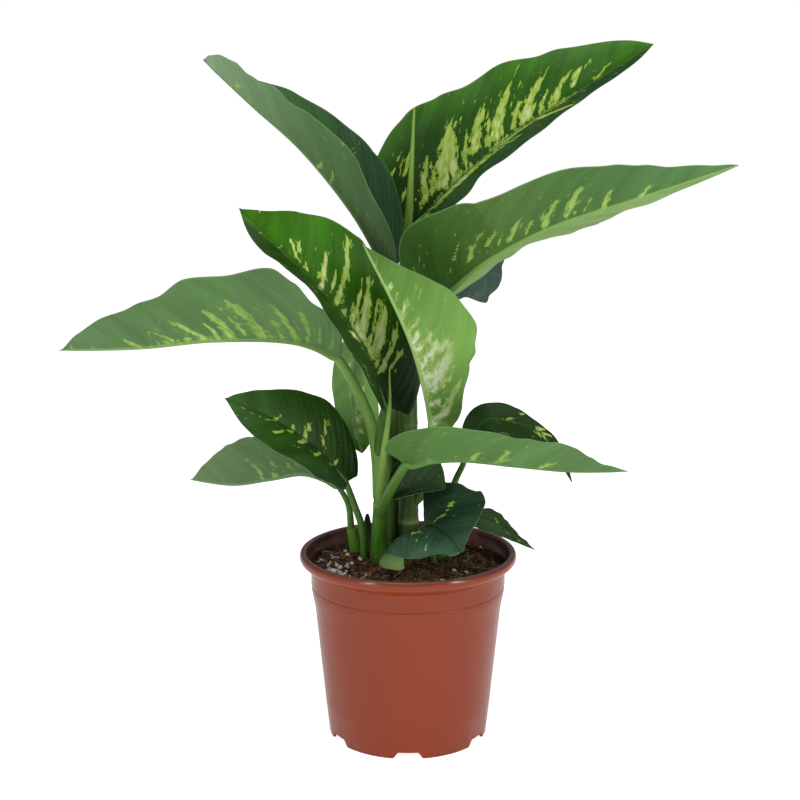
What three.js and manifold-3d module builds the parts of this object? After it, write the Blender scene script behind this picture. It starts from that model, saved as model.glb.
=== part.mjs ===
// A dieffenbachia in a plastic nursery pot. Millimetres, +Z up, the pot's axis on Z, its foot at Z = 0.
import * as THREE from 'three';
import { mergeVertices } from 'three/addons/utils/BufferGeometryUtils.js';
import Module from 'manifold-3d';

const wasm = await Module();
wasm.setup();

// ---------- driving dimensions ----------
const rimRadius = 95;
const footRadius = 70.1;
const wall = 1.6;
const footRingWidth = 3;
const collarRadius = 84.8;
const collarTop = 146;
const collarBottom = 133;
const stepBottom = 121;
const stepInset = 2.8;
const lipWidth = 6.4;
// The lip's outer section from the collar up: how far it lies inside the rim's radius, and its height.
const lipSection = [
  [4.8, 150.5], [1.2, 156.5], [0, 160.5], [0.2, 163.7], [1.6, 165.4], [3.2, 165.7], [5.4, 165.2],
];
const lipInnerTop = 164.1;
const mouthInset = 1.2;
const basePlateUnder = 3.4;
const basePlateTop = 6.4;
const notchCount = 6;
const notchHeight = 5.8;
const notchBottomWidth = 26;
const notchTopWidth = 18;
const notchCutDepth = 12;
const drainHoleCount = 6;
const drainHoleRadius = 5;
const drainCircleRadius = 46;
const drainHoleSides = 12;
const potSides = 48;

const clearance = 0.35;
const soilLevel = 156;
const soilSides = 28;
const soilRings = 4;
const soilBump = 1.6;
const soilEdgeDrop = 3;

const bladeThickness = 0.9;
const narrowestHalf = 0.5;
const keelDepth = 2.2;
const keelTaper = 0.8;
const ribStations = 14;
const smallRibStations = 10;
const smallBladeLength = 150;
const acrossBlade = [0.4, 0.75, 1];
const slices = 8;
const lobeReach = 0.12;
const rollPower = 1.5;
const stalkSides = 7;
const stalkSteps = 8;
const stalkOverlap = 0.06;
const smallStalkOverlap = 0.1;
const stemSides = 10;
const stepsPerRing = 4;
const spearSteps = 12;
const ringSwell = 0.07;
const ringSharpness = 6;
const weldDistance = 1e-4;

const potColour = 0x8f4a36;
const soilColour = 0x2a1d16;
const caneColour = 0x6f9a4c;
const stubColour = 0x2e3a1e;
const darkLeafColour = 0x24512a;
const paleLeafColour = 0x6d9a62;
const lightLeafColour = 0x9cc27e;

// ---------- stems: each follows its points from its buried end to its top ----------
const stems = [
  { name: 'mainCane', radii: [9.5, 8], rings: 7, points: [[1, 20, 116], [0, 21, 250], [-1, 20, 372]] },
  { name: 'frontShoot', radii: [7.6, 6.1], rings: 3, points: [[-27, 0, 116], [-26.5, 0, 158], [-23.8, 0, 213]] },
  { name: 'leftShoot', radii: [5.4, 4.8], rings: 2, points: [[-46, 27, 120], [-47, 27, 154], [-50, 26, 178]] },
  { name: 'backShoot', radii: [6.9, 6], rings: 3, points: [[-13.5, 31, 118], [-13.5, 31, 200], [-12, 33, 286]] },
  { name: 'rightShoot', radii: [5, 4.4], rings: 1, points: [[30, 13, 120], [29, 12, 156], [28, 12, 172]] },
  { name: 'cutStub', radii: [4, 3.5], rings: 1, points: [[-35, 22, 124], [-35.5, 22, 156], [-36, 21, 192]] },
];

// ---------- rolled leaves ----------
const spears = [
  { name: 'spearTop', radii: [4.6, 0.8], seat: 'mainCane',
    points: [[-1, 20, 362], [-3, 12, 417], [1, 8, 466], [5, 14, 547]] },
  { name: 'spearFront', radii: [4.6, 0.7], seat: 'frontShoot',
    points: [[-24, -2, 208], [-21, -20, 256], [-16, -36, 298], [-15.8, -46, 336]] },
];

// ---------- leaves ----------
// rib: the midrib from the blade's base to its tip. stalk: the petiole, from its stem to the base.
// Each half has its width, the way it leaves the rib (base to tip), and the shape of its edge:
// peak is the place of the widest point, base and tip the roundness of the two ends, start how much of
// the base is cut straight, lobe how far the base reaches back, sweep how far it leans to the tip,
// wave is height, count and phase, roll is the angle of the margin and where the roll starts, edge lists
// places along the rib and how many mm the margin stands out there. girth thickens a leaf's petiole.
// face is 1 where the upper side is the rib's tangent crossed with the first half's direction.
const plainHalf = {
  peak: 0.36, base: 0.55, tip: 1.15, start: 0.02, lobe: 0, sweep: 0.2, wave: [0, 0, 0], curl: 0,
  roll: [0, 0.6], edge: [[0, 0]],
};

const leaves = [
  {
    name: 'leafTopLeft', face: 1, colour: paleLeafColour, seat: ['mainCane', 'spearTop'],
    rib: [[-17, 15, 406], [-46.8, 14, 458.5], [-89, 22, 510], [-133, 34, 548.5], [-175, 48, 586]],
    stalk: [[0, 20, 325], [-9, 18, 368], [-17, 15, 406]],
    near: { width: 58, out: [[0.35, -0.85, 0.35], [0.4, -0.85, 0.4]], peak: 0.4, tip: 0.95,
      wave: [3, 3.2, 0.1], edge: [[0.5, 0], [0.58, -5], [0.64, -4], [0.7, -6], [0.76, -2], [0.83, 7],
      [0.91, 8.5], [0.97, 6], [1, 1]] },
    far: { width: 62, out: [[0.5, 0.66, 0.5]], tip: 1.1, edge: [[0.28, 0], [0.34, -3], [0.46, -6],
      [0.56, -7.5], [0.7, -4], [0.82, -4], [1, 0]] },
  },
  {
    name: 'leafTopRight', face: 1, colour: darkLeafColour, seat: ['mainCane', 'spearTop'],
    rib: [[-3, 58, 436], [42, 58, 482], [90, 58, 523], [145, 60, 559], [212, 66, 600]],
    stalk: [[0, 24, 350], [-3, 42, 394], [-3, 58, 436]],
    near: { width: 72, out: [[-0.85, 0.3, 0.65], [-0.5, 0.45, 0.75], [-0.5, 0.45, 0.75]], peak: 0.3,
      base: 0.45, tip: 0.9, lobe: 20, wave: [2, 3, 0.3], edge: [[0, 0], [0.06, 7], [0.16, 8.5],
      [0.22, 6.5], [0.34, -1.5], [0.43, -6.5], [0.55, -1.5], [0.67, -4.5], [0.76, -0.5], [0.94, 1.5],
      [1, 0]] },
    far: { width: 52, out: [[0.12, -0.97, -0.16]], peak: 0.42, tip: 0.9, edge: [[0.05, 0], [0.12, 8],
      [0.19, 9], [0.3, -12], [0.4, -6], [0.5, -4], [0.62, -9], [0.74, -8], [0.84, 0], [0.93, 3],
      [1, 0]] },
  },
  {
    name: 'leafRight', face: -1, colour: paleLeafColour, seat: ['mainCane', 'spearTop'],
    rib: [[27, -15, 387], [67, -30, 424], [118, -45, 453], [185, -60, 477], [261, -70, 503]],
    stalk: [[3, 20, 296], [10, 13, 326], [15, 0, 354], [27, -15, 387]],
    near: { width: 68, out: [[-0.8, 0.1, 0.75], [-0.35, -0.72, 0.6], [-0.3, -0.65, 0.65],
      [-0.3, -0.5, 0.75]], peak: 0.16, tip: 0.9, lobe: 14, sweep: 0.1, wave: [2, 3, 0], edge: [[0.22, -1],
      [0.34, 6], [0.43, 3.5], [0.55, 6], [0.7, 5], [0.77, 0], [0.84, -5], [0.93, -4], [1, 0]] },
    far: { width: 52, out: [[0.2, 0.9, -0.25]], peak: 0.45, tip: 0.9, edge: [[0.1, 0], [0.22, -11],
      [0.34, -24], [0.41, -16], [0.47, 4], [0.54, 3.5], [0.6, -3.5], [0.68, -10], [0.76, -4], [0.88, -5],
      [1, -1]] },
  },
  {
    name: 'leafLeft', face: 1, colour: paleLeafColour, seat: ['frontShoot', 'spearFront'], girth: 1.45,
    rib: [[-60, 15, 334], [-101, 0, 350], [-164, -12, 353], [-226, -20, 348], [-294, -20, 346]],
    stalk: [[-24.5, 3, 212], [-26, 4, 245], [-30.5, 8, 272], [-38.5, 11, 294], [-50, 14, 317],
      [-60, 15, 334]],
    near: { width: 68, out: [[-0.4, -0.5, 0.75], [0, -0.3, 0.95], [0, -0.4, 0.85]], peak: 0.42, base: 0.8,
      sweep: 0, wave: [3, 3, 0.2], edge: [[0.05, -4], [0.16, -12], [0.22, -14.5], [0.28, -6], [0.34, 0.5],
      [0.46, -6.5], [0.58, -1], [0.66, -7], [0.76, -0.3], [0.87, 7], [0.94, 5.5], [1, 0]] },
    far: { width: 62, out: [[0, 0.92, 0.4], [0, 0.97, 0.15], [0, 0.98, 0.13], [0, 0.98, 0.12]],
      wave: [5, 2, 0.85] },
  },
  {
    name: 'leafCentre', face: -1, colour: darkLeafColour, seat: ['frontShoot', 'spearFront', 'leafLeft'], girth: 1.1,
    rib: [[-19, -20, 296], [-33, -32, 344], [-64, -38, 391], [-99, -38, 429], [-139, -30, 466]],
    stalk: [[-25, 3, 211], [-26, 3, 250], [-23, -8, 280], [-19, -20, 296]],
    near: { width: 54, out: [[0.7, 0.3, 0.65], [0.6, 0.4, 0.7]], tip: 1.05, lobe: 17, sweep: 0.1,
      wave: [2, 3, 0], edge: [[0, 2], [0.12, 4], [0.28, 1], [0.5, 1], [0.58, 6.5], [0.73, 11], [0.82, 8],
      [0.94, 1.5], [1, 0]] },
    far: { width: 44, out: [[-0.08, -0.97, 0], [-0.12, -0.96, -0.09], [-0.14, -0.95, -0.12],
      [-0.11, -0.96, -0.09], [-0.3, -0.85, -0.3], [-0.6, -0.3, -0.6]], tip: 1.05, edge: [[0.28, 0],
      [0.42, -8], [0.52, -13], [0.62, -12], [0.72, -7], [0.8, 0], [1, 0]] },
  },
  {
    name: 'leafFront', face: 1, colour: lightLeafColour, seat: ['mainCane'],
    rib: [[21, -22, 269], [15, -40, 309], [4, -55, 352], [-13, -62, 393], [-37, -62, 440]],
    stalk: [[2, 20, 200], [16, 12, 217], [25, 4, 243], [21, -22, 269]],
    near: { width: 54, out: [[0.85, -0.4, -0.1]], peak: 0.52, base: 0.8, tip: 1.2, sweep: 0.1,
      wave: [2, 3, 0], edge: [[0, 0], [0.12, -5.5], [0.3, -9], [0.4, -5.5], [0.46, 3], [0.57, 14],
      [0.67, 11], [0.85, 0]] },
    far: { width: 45, out: [[0.75, 0.6, 0]], peak: 0.52, base: 0.8, tip: 1.2, edge: [[0, 0], [0.15, -10],
      [0.4, -8], [0.55, 0]] },
  },
  {
    name: 'leafLowDark', face: -1, colour: darkLeafColour, seat: [], girth: 1.15,
    rib: [[-53, 5, 225], [-74, -8, 255], [-100, -18, 278], [-126, -24, 294], [-155, -25, 306]],
    stalk: [[-39, 8, 118], [-39, 8, 151], [-40, 8, 181], [-47, 8, 204], [-53, 5, 225]],
    near: { width: 38, out: [[0.3, 0.45, 0.8], [0.3, 0.5, 0.7]], peak: 0.33, lobe: 6, sweep: 0.1,
      edge: [[0.2, 0], [0.36, 2.5], [0.5, 0.5], [0.7, -0.5], [0.85, 1.5], [0.94, 2], [1, 0]] },
    far: { width: 40, out: [[-0.2, -0.95, -0.15], [-0.2, -0.95, -0.15], [-0.26, -0.79, -0.48],
      [-0.35, -0.36, -0.8]], peak: 0.33, edge: [[0, 0], [0.1, -5.5], [0.17, -3], [0.24, 2], [0.4, 0]] },
  },
  {
    name: 'leafLowPale', face: 1, colour: paleLeafColour, seat: ['leftShoot'],
    rib: [[-60, 26, 215.5], [-91, 30, 226], [-122, 32, 221], [-156, 32, 216], [-194, 34, 220]],
    stalk: [[-50, 26, 172], [-52.5, 27, 198], [-60, 26, 215.5]],
    near: { width: 50, out: [[0.1, -0.35, 0.9]], peak: 0.45, edge: [[0.3, 0], [0.46, -1.5], [0.58, 1],
      [0.7, 4.5], [0.82, 7.5], [0.9, 6], [1, 0]] },
    far: { width: 45, out: [[0, 0.8, 0.5]], peak: 0.45 },
  },
  {
    name: 'leafLowRight', face: -1, colour: paleLeafColour, seat: ['frontShoot', 'spearFront'], girth: 1.15,
    rib: [[-3, -60, 257], [40, -85, 267], [85, -100, 266], [128, -110, 264], [174, -115, 265]],
    stalk: [[-24, -2, 198], [-16, -25, 224], [-3, -60, 257]],
    near: { width: 48, out: [[0, -0.65, 0.72]], peak: 0.27, base: 0.42, tip: 1.05, lobe: 11, sweep: 0.1,
      edge: [[0, -1], [0.3, -5], [0.5, -4.5], [0.58, -1], [0.7, 7], [0.76, 7], [0.83, 1.5], [0.88, -2.5],
      [0.94, -0.5], [1, 0]] },
    far: { width: 42, out: [[0, 0.96, 0.22]], peak: 0.27, tip: 1.05 },
  },
  {
    name: 'leafBehindLow', face: 1, colour: darkLeafColour, seat: ['rightShoot'],
    rib: [[51, 24, 252], [68, 32, 275], [96, 40, 272], [125, 44, 256], [147, 42, 216]],
    stalk: [[28, 12, 166], [34, 20, 198], [42, 23, 222], [49, 22, 238], [51, 24, 252]],
    near: { width: 29, out: [[-0.2, 0.9, 0.3], [0.3, 0.8, 0.25]], lobe: 9, sweep: 0.1, edge: [[0.08, 0],
      [0.16, 3], [0.28, -3], [0.46, -1], [0.52, -2], [0.62, -8], [0.7, -7.5], [0.82, 2], [0.92, 5],
      [1, 2]] },
    far: { width: 34, out: [[0.3, -0.75, -0.6], [-0.1, -0.75, -0.6], [-0.1, -0.9, -0.3],
      [-0.1, -0.9, -0.2]] },
  },
  {
    name: 'leafCurled', face: 1, colour: darkLeafColour, seat: [],
    rib: [[14, -5, 191], [24, -35, 196], [34, -62, 195], [43, -85, 189]],
    stalk: [[24, -12, 122], [23, -11, 154], [20, -8, 172], [14, -5, 191]],
    near: { width: 50, out: [[0.03, 0, 1], [0.7, 0.3, 0.65], [0.72, 0.4, 0.5], [0.5, 0.6, 0.5]],
      peak: 0.3, tip: 0.8, start: 0.22, lobe: 6, sweep: 0, curl: -8, edge: [[0, -18], [0.12, -11],
      [0.26, -5], [0.4, 3], [0.52, 3], [0.65, -5], [0.78, -10], [0.9, -7], [1, 0]] },
    far: { width: 56, out: [[-0.8, -0.3, -0.28], [-0.9, -0.2, 0.02], [-0.95, -0.12, 0.25],
      [-0.95, -0.1, 0.12], [-0.95, -0.1, 0], [-0.9, -0.2, -0.1]], peak: 0.35, tip: 0.8, start: 0.15,
      lobe: -18, sweep: 0, curl: -70, edge: [[0, 1], [0.26, 5], [0.4, 1], [0.55, -5], [0.8, -15],
      [1, 0]] },
  },
  {
    name: 'leafHanging', face: 1, colour: darkLeafColour, seat: ['frontShoot', 'spearFront', 'leafLowRight'],
    rib: [[-17, -8, 213], [-3, -12, 219], [15, -16, 224], [32, -20, 226]],
    stalk: [[-24, 0, 196], [-21, -4, 205], [-17, -8, 213]],
    near: { width: 34, out: [[0, 0.3, 0.95]], peak: 0.5, tip: 0.7 },
    far: { width: 14, out: [[0, -0.95, 0.1]], peak: 0.5, tip: 0.7 },
  },
  {
    name: 'leafOverRim', face: 1, colour: darkLeafColour, seat: ['rightShoot', 'leafBehindLow'],
    rib: [[50, 15, 188], [67, 12, 190], [88, 5, 182], [112, 0, 165]],
    stalk: [[28, 12, 163], [37, 14, 181], [50, 15, 188]],
    near: { width: 25, out: [[0.2, 0.93, 0.12]], peak: 0.4, edge: [[0.28, 0], [0.4, -3.5], [0.52, -7.5],
      [0.64, -9.5], [0.78, -9], [0.9, -3], [1, 0]] },
    far: { width: 26, out: [[-0.1, -0.97, -0.12]], peak: 0.4 },
  },
  {
    name: 'leafShade', face: 1, colour: darkLeafColour, seat: ['mainCane'],
    rib: [[39, 60, 424], [61, 85, 411], [72, 100, 391], [72, 108, 369]],
    stalk: [[2, 24, 310], [15, 45, 362], [28, 55, 410], [39, 60, 424]],
    near: { width: 24, out: [[0.8, 0.3, 0.4]], peak: 0.4, tip: 0.9, edge: [[0.5, 0], [0.58, -4],
      [0.76, -3], [0.88, -5.5], [1, 0]] },
    far: { width: 36, out: [[-0.8, -0.3, -0.4]], peak: 0.4, tip: 0.9 },
  },
  {
    name: 'leafBackLeft', face: -1, colour: lightLeafColour, seat: ['backShoot'],
    rib: [[-40, 58, 354], [-50, 60, 314], [-49, 54, 274], [-41, 48, 241]],
    stalk: [[-12, 33, 272], [-12, 36, 305], [-17, 42, 335], [-26, 49, 356], [-35, 55, 362],
      [-40, 58, 354]],
    near: { width: 27, out: [[0.85, 0.5, 0]], peak: 0.55, tip: 0.9 },
    far: { width: 21, out: [[-0.85, 0.3, 0]], peak: 0.5, tip: 0.9, edge: [[0.2, 0], [0.4, -2], [0.54, -4],
      [0.7, 0]] },
  },
];
const stalkRadii = [4.4, 2.8];
const smallStalkRadii = [3.6, 2.2];

// ---------- helpers ----------
const vector = (p) => new THREE.Vector3(p[0], p[1], p[2]);
const smoothCurve = (points) => new THREE.CatmullRomCurve3(points.map(vector), false, 'catmullrom', 0.5);

function finishMaterial(colour, roughness) {
  return new THREE.MeshStandardMaterial({ color: colour, roughness, metalness: 0 });
}

function mergedSolid(geometry) {
  const bare = geometry.clone();
  bare.deleteAttribute('normal');
  bare.deleteAttribute('uv');
  const merged = mergeVertices(bare, weldDistance);
  return new wasm.Manifold(new wasm.Mesh({
    numProp: 3,
    vertProperties: new Float32Array(merged.attributes.position.array),
    triVerts: new Uint32Array(merged.index.array),
  }));
}

function largestPiece(solid) {
  const pieces = solid.decompose();
  return pieces.reduce((best, piece) => (piece.volume() > best.volume() ? piece : best));
}

function meshFromSolid(name, solid, material) {
  const data = largestPiece(solid).getMesh();
  const geometry = new THREE.BufferGeometry();
  geometry.setAttribute('position', new THREE.BufferAttribute(new Float32Array(data.vertProperties), 3));
  geometry.setIndex(new THREE.BufferAttribute(new Uint32Array(data.triVerts), 1));
  geometry.computeVertexNormals();
  const mesh = new THREE.Mesh(geometry, material);
  mesh.name = name;
  return mesh;
}

// A closed tube along a smooth curve, with a radius that changes along it.
function tubeGeometry(points, radiusAt, sides, steps) {
  const path = smoothCurve(points);
  const ring = [];
  for (let k = 0; k < sides; k += 1) {
    const angle = (2 * Math.PI * k) / sides;
    ring.push(new THREE.Vector2(Math.cos(angle), Math.sin(angle)));
  }
  const section = new THREE.Shape(ring);
  const geometry = new THREE.ExtrudeGeometry(section, { steps, bevelEnabled: false, extrudePath: path });
  const centres = path.getSpacedPoints(steps);
  const position = geometry.attributes.position;
  const corner = new THREE.Vector3();
  for (let i = 0; i < position.count; i += 1) {
    corner.fromBufferAttribute(position, i);
    const distances = centres.map((centre) => Math.abs(centre.distanceTo(corner) - 1));
    const nearest = distances.indexOf(Math.min(...distances));
    corner.sub(centres[nearest]).multiplyScalar(radiusAt(nearest / steps)).add(centres[nearest]);
    position.setXYZ(i, corner.x, corner.y, corner.z);
  }
  return geometry;
}

// ---------- pot ----------
// The inner wall's radius at each height, from the base plate to the mouth.
const taper = (collarRadius - stepInset - footRadius) / stepBottom;
const innerWall = [
  [footRadius + taper * basePlateTop - wall, basePlateTop],
  [collarRadius - stepInset - wall, stepBottom],
  [collarRadius - wall, (stepBottom + 2 * collarBottom) / 3],
  [collarRadius - wall, collarTop],
  [rimRadius - lipWidth - mouthInset, soilLevel - 2],
  [rimRadius - lipWidth, lipInnerTop],
];

function potSolid() {
  const outer = [
    [footRadius, 0],
    [collarRadius - stepInset, stepBottom],
    [collarRadius - stepInset / 4, (stepBottom + collarBottom) / 2],
    [collarRadius, collarBottom - 2],
    [collarRadius, collarTop],
    ...lipSection.map(([inset, height]) => [rimRadius - inset, height]),
  ];
  const profile = [
    [0, basePlateUnder],
    [footRadius - footRingWidth, basePlateUnder],
    [footRadius - 0.8 * footRingWidth, 0],
    ...outer,
    ...innerWall.slice().reverse(),
    [0, basePlateTop],
  ];
  const shell = new THREE.LatheGeometry(profile.map((p) => new THREE.Vector2(p[0], p[1])), potSides);
  shell.rotateX(Math.PI / 2);
  let solid = mergedSolid(shell);
  for (let k = 0; k < notchCount; k += 1) {
    const angle = -Math.PI / 2 + (2 * Math.PI * k) / notchCount;
    const outline = new THREE.Shape([
      new THREE.Vector2(-notchBottomWidth / 2, -1),
      new THREE.Vector2(notchBottomWidth / 2, -1),
      new THREE.Vector2(notchTopWidth / 2, notchHeight),
      new THREE.Vector2(-notchTopWidth / 2, notchHeight),
    ]);
    const block = new THREE.ExtrudeGeometry(outline, { depth: notchCutDepth, bevelEnabled: false });
    block.rotateX(Math.PI / 2);
    block.translate(0, footRadius + notchCutDepth / 3, 0);
    block.rotateZ(angle - Math.PI / 2);
    solid = solid.subtract(mergedSolid(block));
  }
  for (let k = 0; k < drainHoleCount; k += 1) {
    const angle = (2 * Math.PI * k) / drainHoleCount;
    const cutHeight = 2 * (basePlateTop - basePlateUnder);
    const hole = new THREE.CylinderGeometry(drainHoleRadius, drainHoleRadius, cutHeight, drainHoleSides);
    hole.rotateX(Math.PI / 2);
    hole.translate(
      drainCircleRadius * Math.cos(angle),
      drainCircleRadius * Math.sin(angle),
      (basePlateUnder + basePlateTop) / 2,
    );
    solid = solid.subtract(mergedSolid(hole));
  }
  return solid;
}

// ---------- soil ----------
const soilHeight = (x, y) => soilBump * (
  Math.sin(x * 0.115 + 0.8) * Math.cos(y * 0.093 - 0.4) + 0.6 * Math.sin(x * 0.23 + y * 0.19)
);

function wallRadius(height) {
  for (let i = 1; i < innerWall.length; i += 1) {
    const [lowRadius, low] = innerWall[i - 1];
    const [highRadius, high] = innerWall[i];
    if (height <= high) {
      return lowRadius + ((highRadius - lowRadius) * (height - low)) / (high - low);
    }
  }
  return innerWall[innerWall.length - 1][0];
}

function soilSolid(stemGeometries) {
  const bottom = basePlateTop + clearance;
  const profile = [[0, bottom], [wallRadius(bottom) - clearance, bottom]];
  for (const [radius, height] of innerWall) {
    if (height > bottom && height < soilLevel - soilEdgeDrop - 1) {
      profile.push([radius - clearance, height]);
    }
  }
  const edgeHeight = soilLevel - soilEdgeDrop;
  const edgeRadius = wallRadius(edgeHeight) - 2 * clearance;
  profile.push([edgeRadius, edgeHeight]);
  for (let k = soilRings - 1; k >= 0; k -= 1) {
    profile.push([(edgeRadius * k) / soilRings, soilLevel]);
  }
  const filling = new THREE.LatheGeometry(profile.map((p) => new THREE.Vector2(p[0], p[1])), soilSides);
  filling.rotateX(Math.PI / 2);
  const position = filling.attributes.position;
  for (let i = 0; i < position.count; i += 1) {
    if (position.getZ(i) > soilLevel - 1) {
      position.setZ(i, position.getZ(i) + soilHeight(position.getX(i), position.getY(i)));
    }
  }
  return stemGeometries.reduce((solid, stem) => solid.subtract(stem), mergedSolid(filling));
}

// ---------- stems ----------
function stemTube(stem, extra) {
  const [low, high] = stem.radii;
  const rings = stem.rings ?? 0;
  const radiusAt = (t) => {
    const ring = rings > 0 ? Math.max(0, Math.cos(2 * Math.PI * rings * t)) ** ringSharpness : 0;
    return (low + (high - low) * t) * (1 + ringSwell * ring) + extra;
  };
  return tubeGeometry(stem.points, radiusAt, stemSides, rings > 0 ? rings * stepsPerRing : spearSteps);
}

// ---------- leaves ----------
// Half the blade's width at u along the rib, as a share of its widest.
function widthShare(u, half) {
  const t = half.start + (1 - half.start) * u;
  if (t < half.peak) {
    return (1 - (1 - t / half.peak) ** 2) ** half.base;
  }
  const x = (t - half.peak) / (1 - half.peak);
  return (1 - x) ** half.tip * (1 + half.tip * x);
}

// How far the margin stands out at u, stepping smoothly from each listed place to the next.
function edgeShift(edge, u) {
  return edge.slice(1).reduce((shift, [place, height], k) => {
    const [placeBefore, heightBefore] = edge[k];
    return shift + (height - heightBefore) * THREE.MathUtils.smoothstep(u, placeBefore, place);
  }, edge[0][1]);
}

function directionAt(list, u) {
  const place = u * (list.length - 1);
  const index = Math.min(Math.floor(place), Math.max(list.length - 2, 0));
  const from = vector(list[index]);
  return list.length > 1 ? from.lerp(vector(list[index + 1]), place - index) : from;
}

// The points of one half at u, from the rib to the edge.
function halfPoints(u, origin, tangent, half, side) {
  const out = directionAt(half.out, u);
  out.addScaledVector(tangent, -out.dot(tangent)).normalize();
  const normal = tangent.clone().cross(out).multiplyScalar(side);
  const share = widthShare(u, half);
  const width = Math.max(half.width * share + edgeShift(half.edge, u), narrowestHalf);
  const points = [];
  let across = 0;
  let rise = 0;
  let from = 0;
  for (const v of acrossBlade) {
    for (let k = 0; k < slices; k += 1) {
      const middle = from + ((v - from) * (k + 0.5)) / slices;
      const rolled = Math.max(0, (middle - half.roll[1]) / (1 - half.roll[1])) ** rollPower;
      const angle = THREE.MathUtils.degToRad(half.curl * middle + half.roll[0] * rolled);
      across += (width * (v - from) * Math.cos(angle)) / slices;
      rise += (width * (v - from) * Math.sin(angle)) / slices;
    }
    from = v;
    const [height, count, phase] = half.wave;
    const wave = height * v * v * share * Math.sin(2 * Math.PI * (count * u + phase));
    const back = half.lobe * v ** 1.5 * Math.exp(-((u / lobeReach) ** 2));
    points.push(origin.clone()
      .addScaledVector(out, across)
      .addScaledVector(normal, rise + wave)
      .addScaledVector(tangent, half.sweep * width * v * v - back));
  }
  return points;
}

function bladeGrid(leaf) {
  const rib = smoothCurve(leaf.rib);
  const near = { ...plainHalf, ...leaf.near };
  const far = { ...plainHalf, ...leaf.far };
  const stations = rib.getLength() < smallBladeLength ? smallRibStations : ribStations;
  const rows = [];
  for (let i = 0; i <= stations; i += 1) {
    const u = i / stations;
    const origin = rib.getPoint(u);
    const tangent = rib.getPoint(Math.min(u + 1e-3, 1)).sub(rib.getPoint(Math.max(u - 1e-3, 0))).normalize();
    const nearPoints = halfPoints(u, origin, tangent, near, 1);
    const farPoints = halfPoints(u, origin, tangent, far, -1);
    rows.push([...nearPoints.reverse(), origin, ...farPoints]);
  }
  return rows;
}

// A closed blade: both faces of the grid, split into triangles alike, and the strip round the edge.
function bladeGeometry(leaf) {
  const rows = bladeGrid(leaf);
  const last = rows.length - 1;
  const columns = rows[0].length;
  const middle = (columns - 1) / 2;
  const upper = [];
  const lower = [];
  for (let i = 0; i <= last; i += 1) {
    for (let j = 0; j < columns; j += 1) {
      const along = rows[Math.min(i + 1, last)][j].clone().sub(rows[Math.max(i - 1, 0)][j]);
      const across = rows[i][Math.max(j - 1, 0)].clone().sub(rows[i][Math.min(j + 1, columns - 1)]);
      const normal = along.cross(across).normalize().multiplyScalar(leaf.face);
      const keel = j === middle ? keelDepth * (1 - (keelTaper * i) / last) : 0;
      upper.push(rows[i][j].clone().addScaledVector(normal, bladeThickness / 2));
      lower.push(rows[i][j].clone().addScaledVector(normal, -bladeThickness / 2 - keel));
    }
  }
  const count = upper.length;
  const at = (i, j) => i * columns + j;
  const index = [];
  for (let i = 0; i < last; i += 1) {
    for (let j = 0; j < columns - 1; j += 1) {
      const [a, b, c, d] = [at(i, j), at(i + 1, j), at(i + 1, j + 1), at(i, j + 1)];
      index.push(a, b, c, a, c, d);
      index.push(count + a, count + c, count + b, count + a, count + d, count + c);
    }
  }
  const border = [];
  for (let i = 0; i < last; i += 1) border.push(at(i, 0));
  for (let j = 0; j < columns - 1; j += 1) border.push(at(last, j));
  for (let i = last; i > 0; i -= 1) border.push(at(i, columns - 1));
  for (let j = columns - 1; j > 0; j -= 1) border.push(at(0, j));
  for (let k = 0; k < border.length; k += 1) {
    const a = border[k];
    const b = border[(k + 1) % border.length];
    index.push(a, count + a, count + b, a, count + b, b);
  }
  const geometry = new THREE.BufferGeometry();
  geometry.setAttribute('position', new THREE.Float32BufferAttribute(
    [...upper, ...lower].flatMap((p) => [p.x, p.y, p.z]), 3));
  geometry.setIndex(leaf.face > 0 ? index.reverse() : index);
  return geometry;
}

function stalkTube(leaf, extra) {
  const rib = smoothCurve(leaf.rib);
  const small = rib.getLength() < smallBladeLength;
  const [low, high] = (small ? smallStalkRadii : stalkRadii).map((radius) => radius * (leaf.girth ?? 1));
  const start = rib.getPoint(0);
  const end = rib.getPoint(small ? smallStalkOverlap : stalkOverlap);
  const beforeBase = leaf.stalk.slice(0, -1);
  const path = [...beforeBase, start.toArray(), end.toArray()];
  return tubeGeometry(path, (t) => low + (high - low) * t + extra, stalkSides, stalkSteps);
}

// ---------- assembly ----------
const group = new THREE.Group();
const clearances = {};

group.add(meshFromSolid('pot', potSolid(), finishMaterial(potColour, 0.42)));

for (const stem of stems) {
  const colour = stem.name === 'cutStub' ? stubColour : caneColour;
  clearances[stem.name] = mergedSolid(stemTube(stem, clearance));
  group.add(meshFromSolid(stem.name, mergedSolid(stemTube(stem, 0)), finishMaterial(colour, 0.5)));
}

for (const spear of spears) {
  clearances[spear.name] = mergedSolid(stemTube(spear, clearance));
  const solid = mergedSolid(stemTube(spear, 0)).subtract(clearances[spear.seat]);
  group.add(meshFromSolid(spear.name, solid, finishMaterial(lightLeafColour, 0.5)));
}

for (const leaf of leaves) {
  clearances[leaf.name] = mergedSolid(stalkTube(leaf, clearance));
  const whole = mergedSolid(bladeGeometry(leaf)).add(mergedSolid(stalkTube(leaf, 0)));
  const solid = leaf.seat.reduce((body, seat) => body.subtract(clearances[seat]), whole);
  group.add(meshFromSolid(leaf.name, solid, finishMaterial(leaf.colour, 0.45)));
}

const buried = [...stems.map((stem) => stem.name), 'leafLowDark', 'leafCurled'];
const soil = soilSolid(buried.map((name) => clearances[name]));
group.add(meshFromSolid('soil', soil, finishMaterial(soilColour, 0.95)));

export default group;
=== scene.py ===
import math
import bmesh
import bpy
import numpy as np
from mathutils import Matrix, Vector, noise


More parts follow.
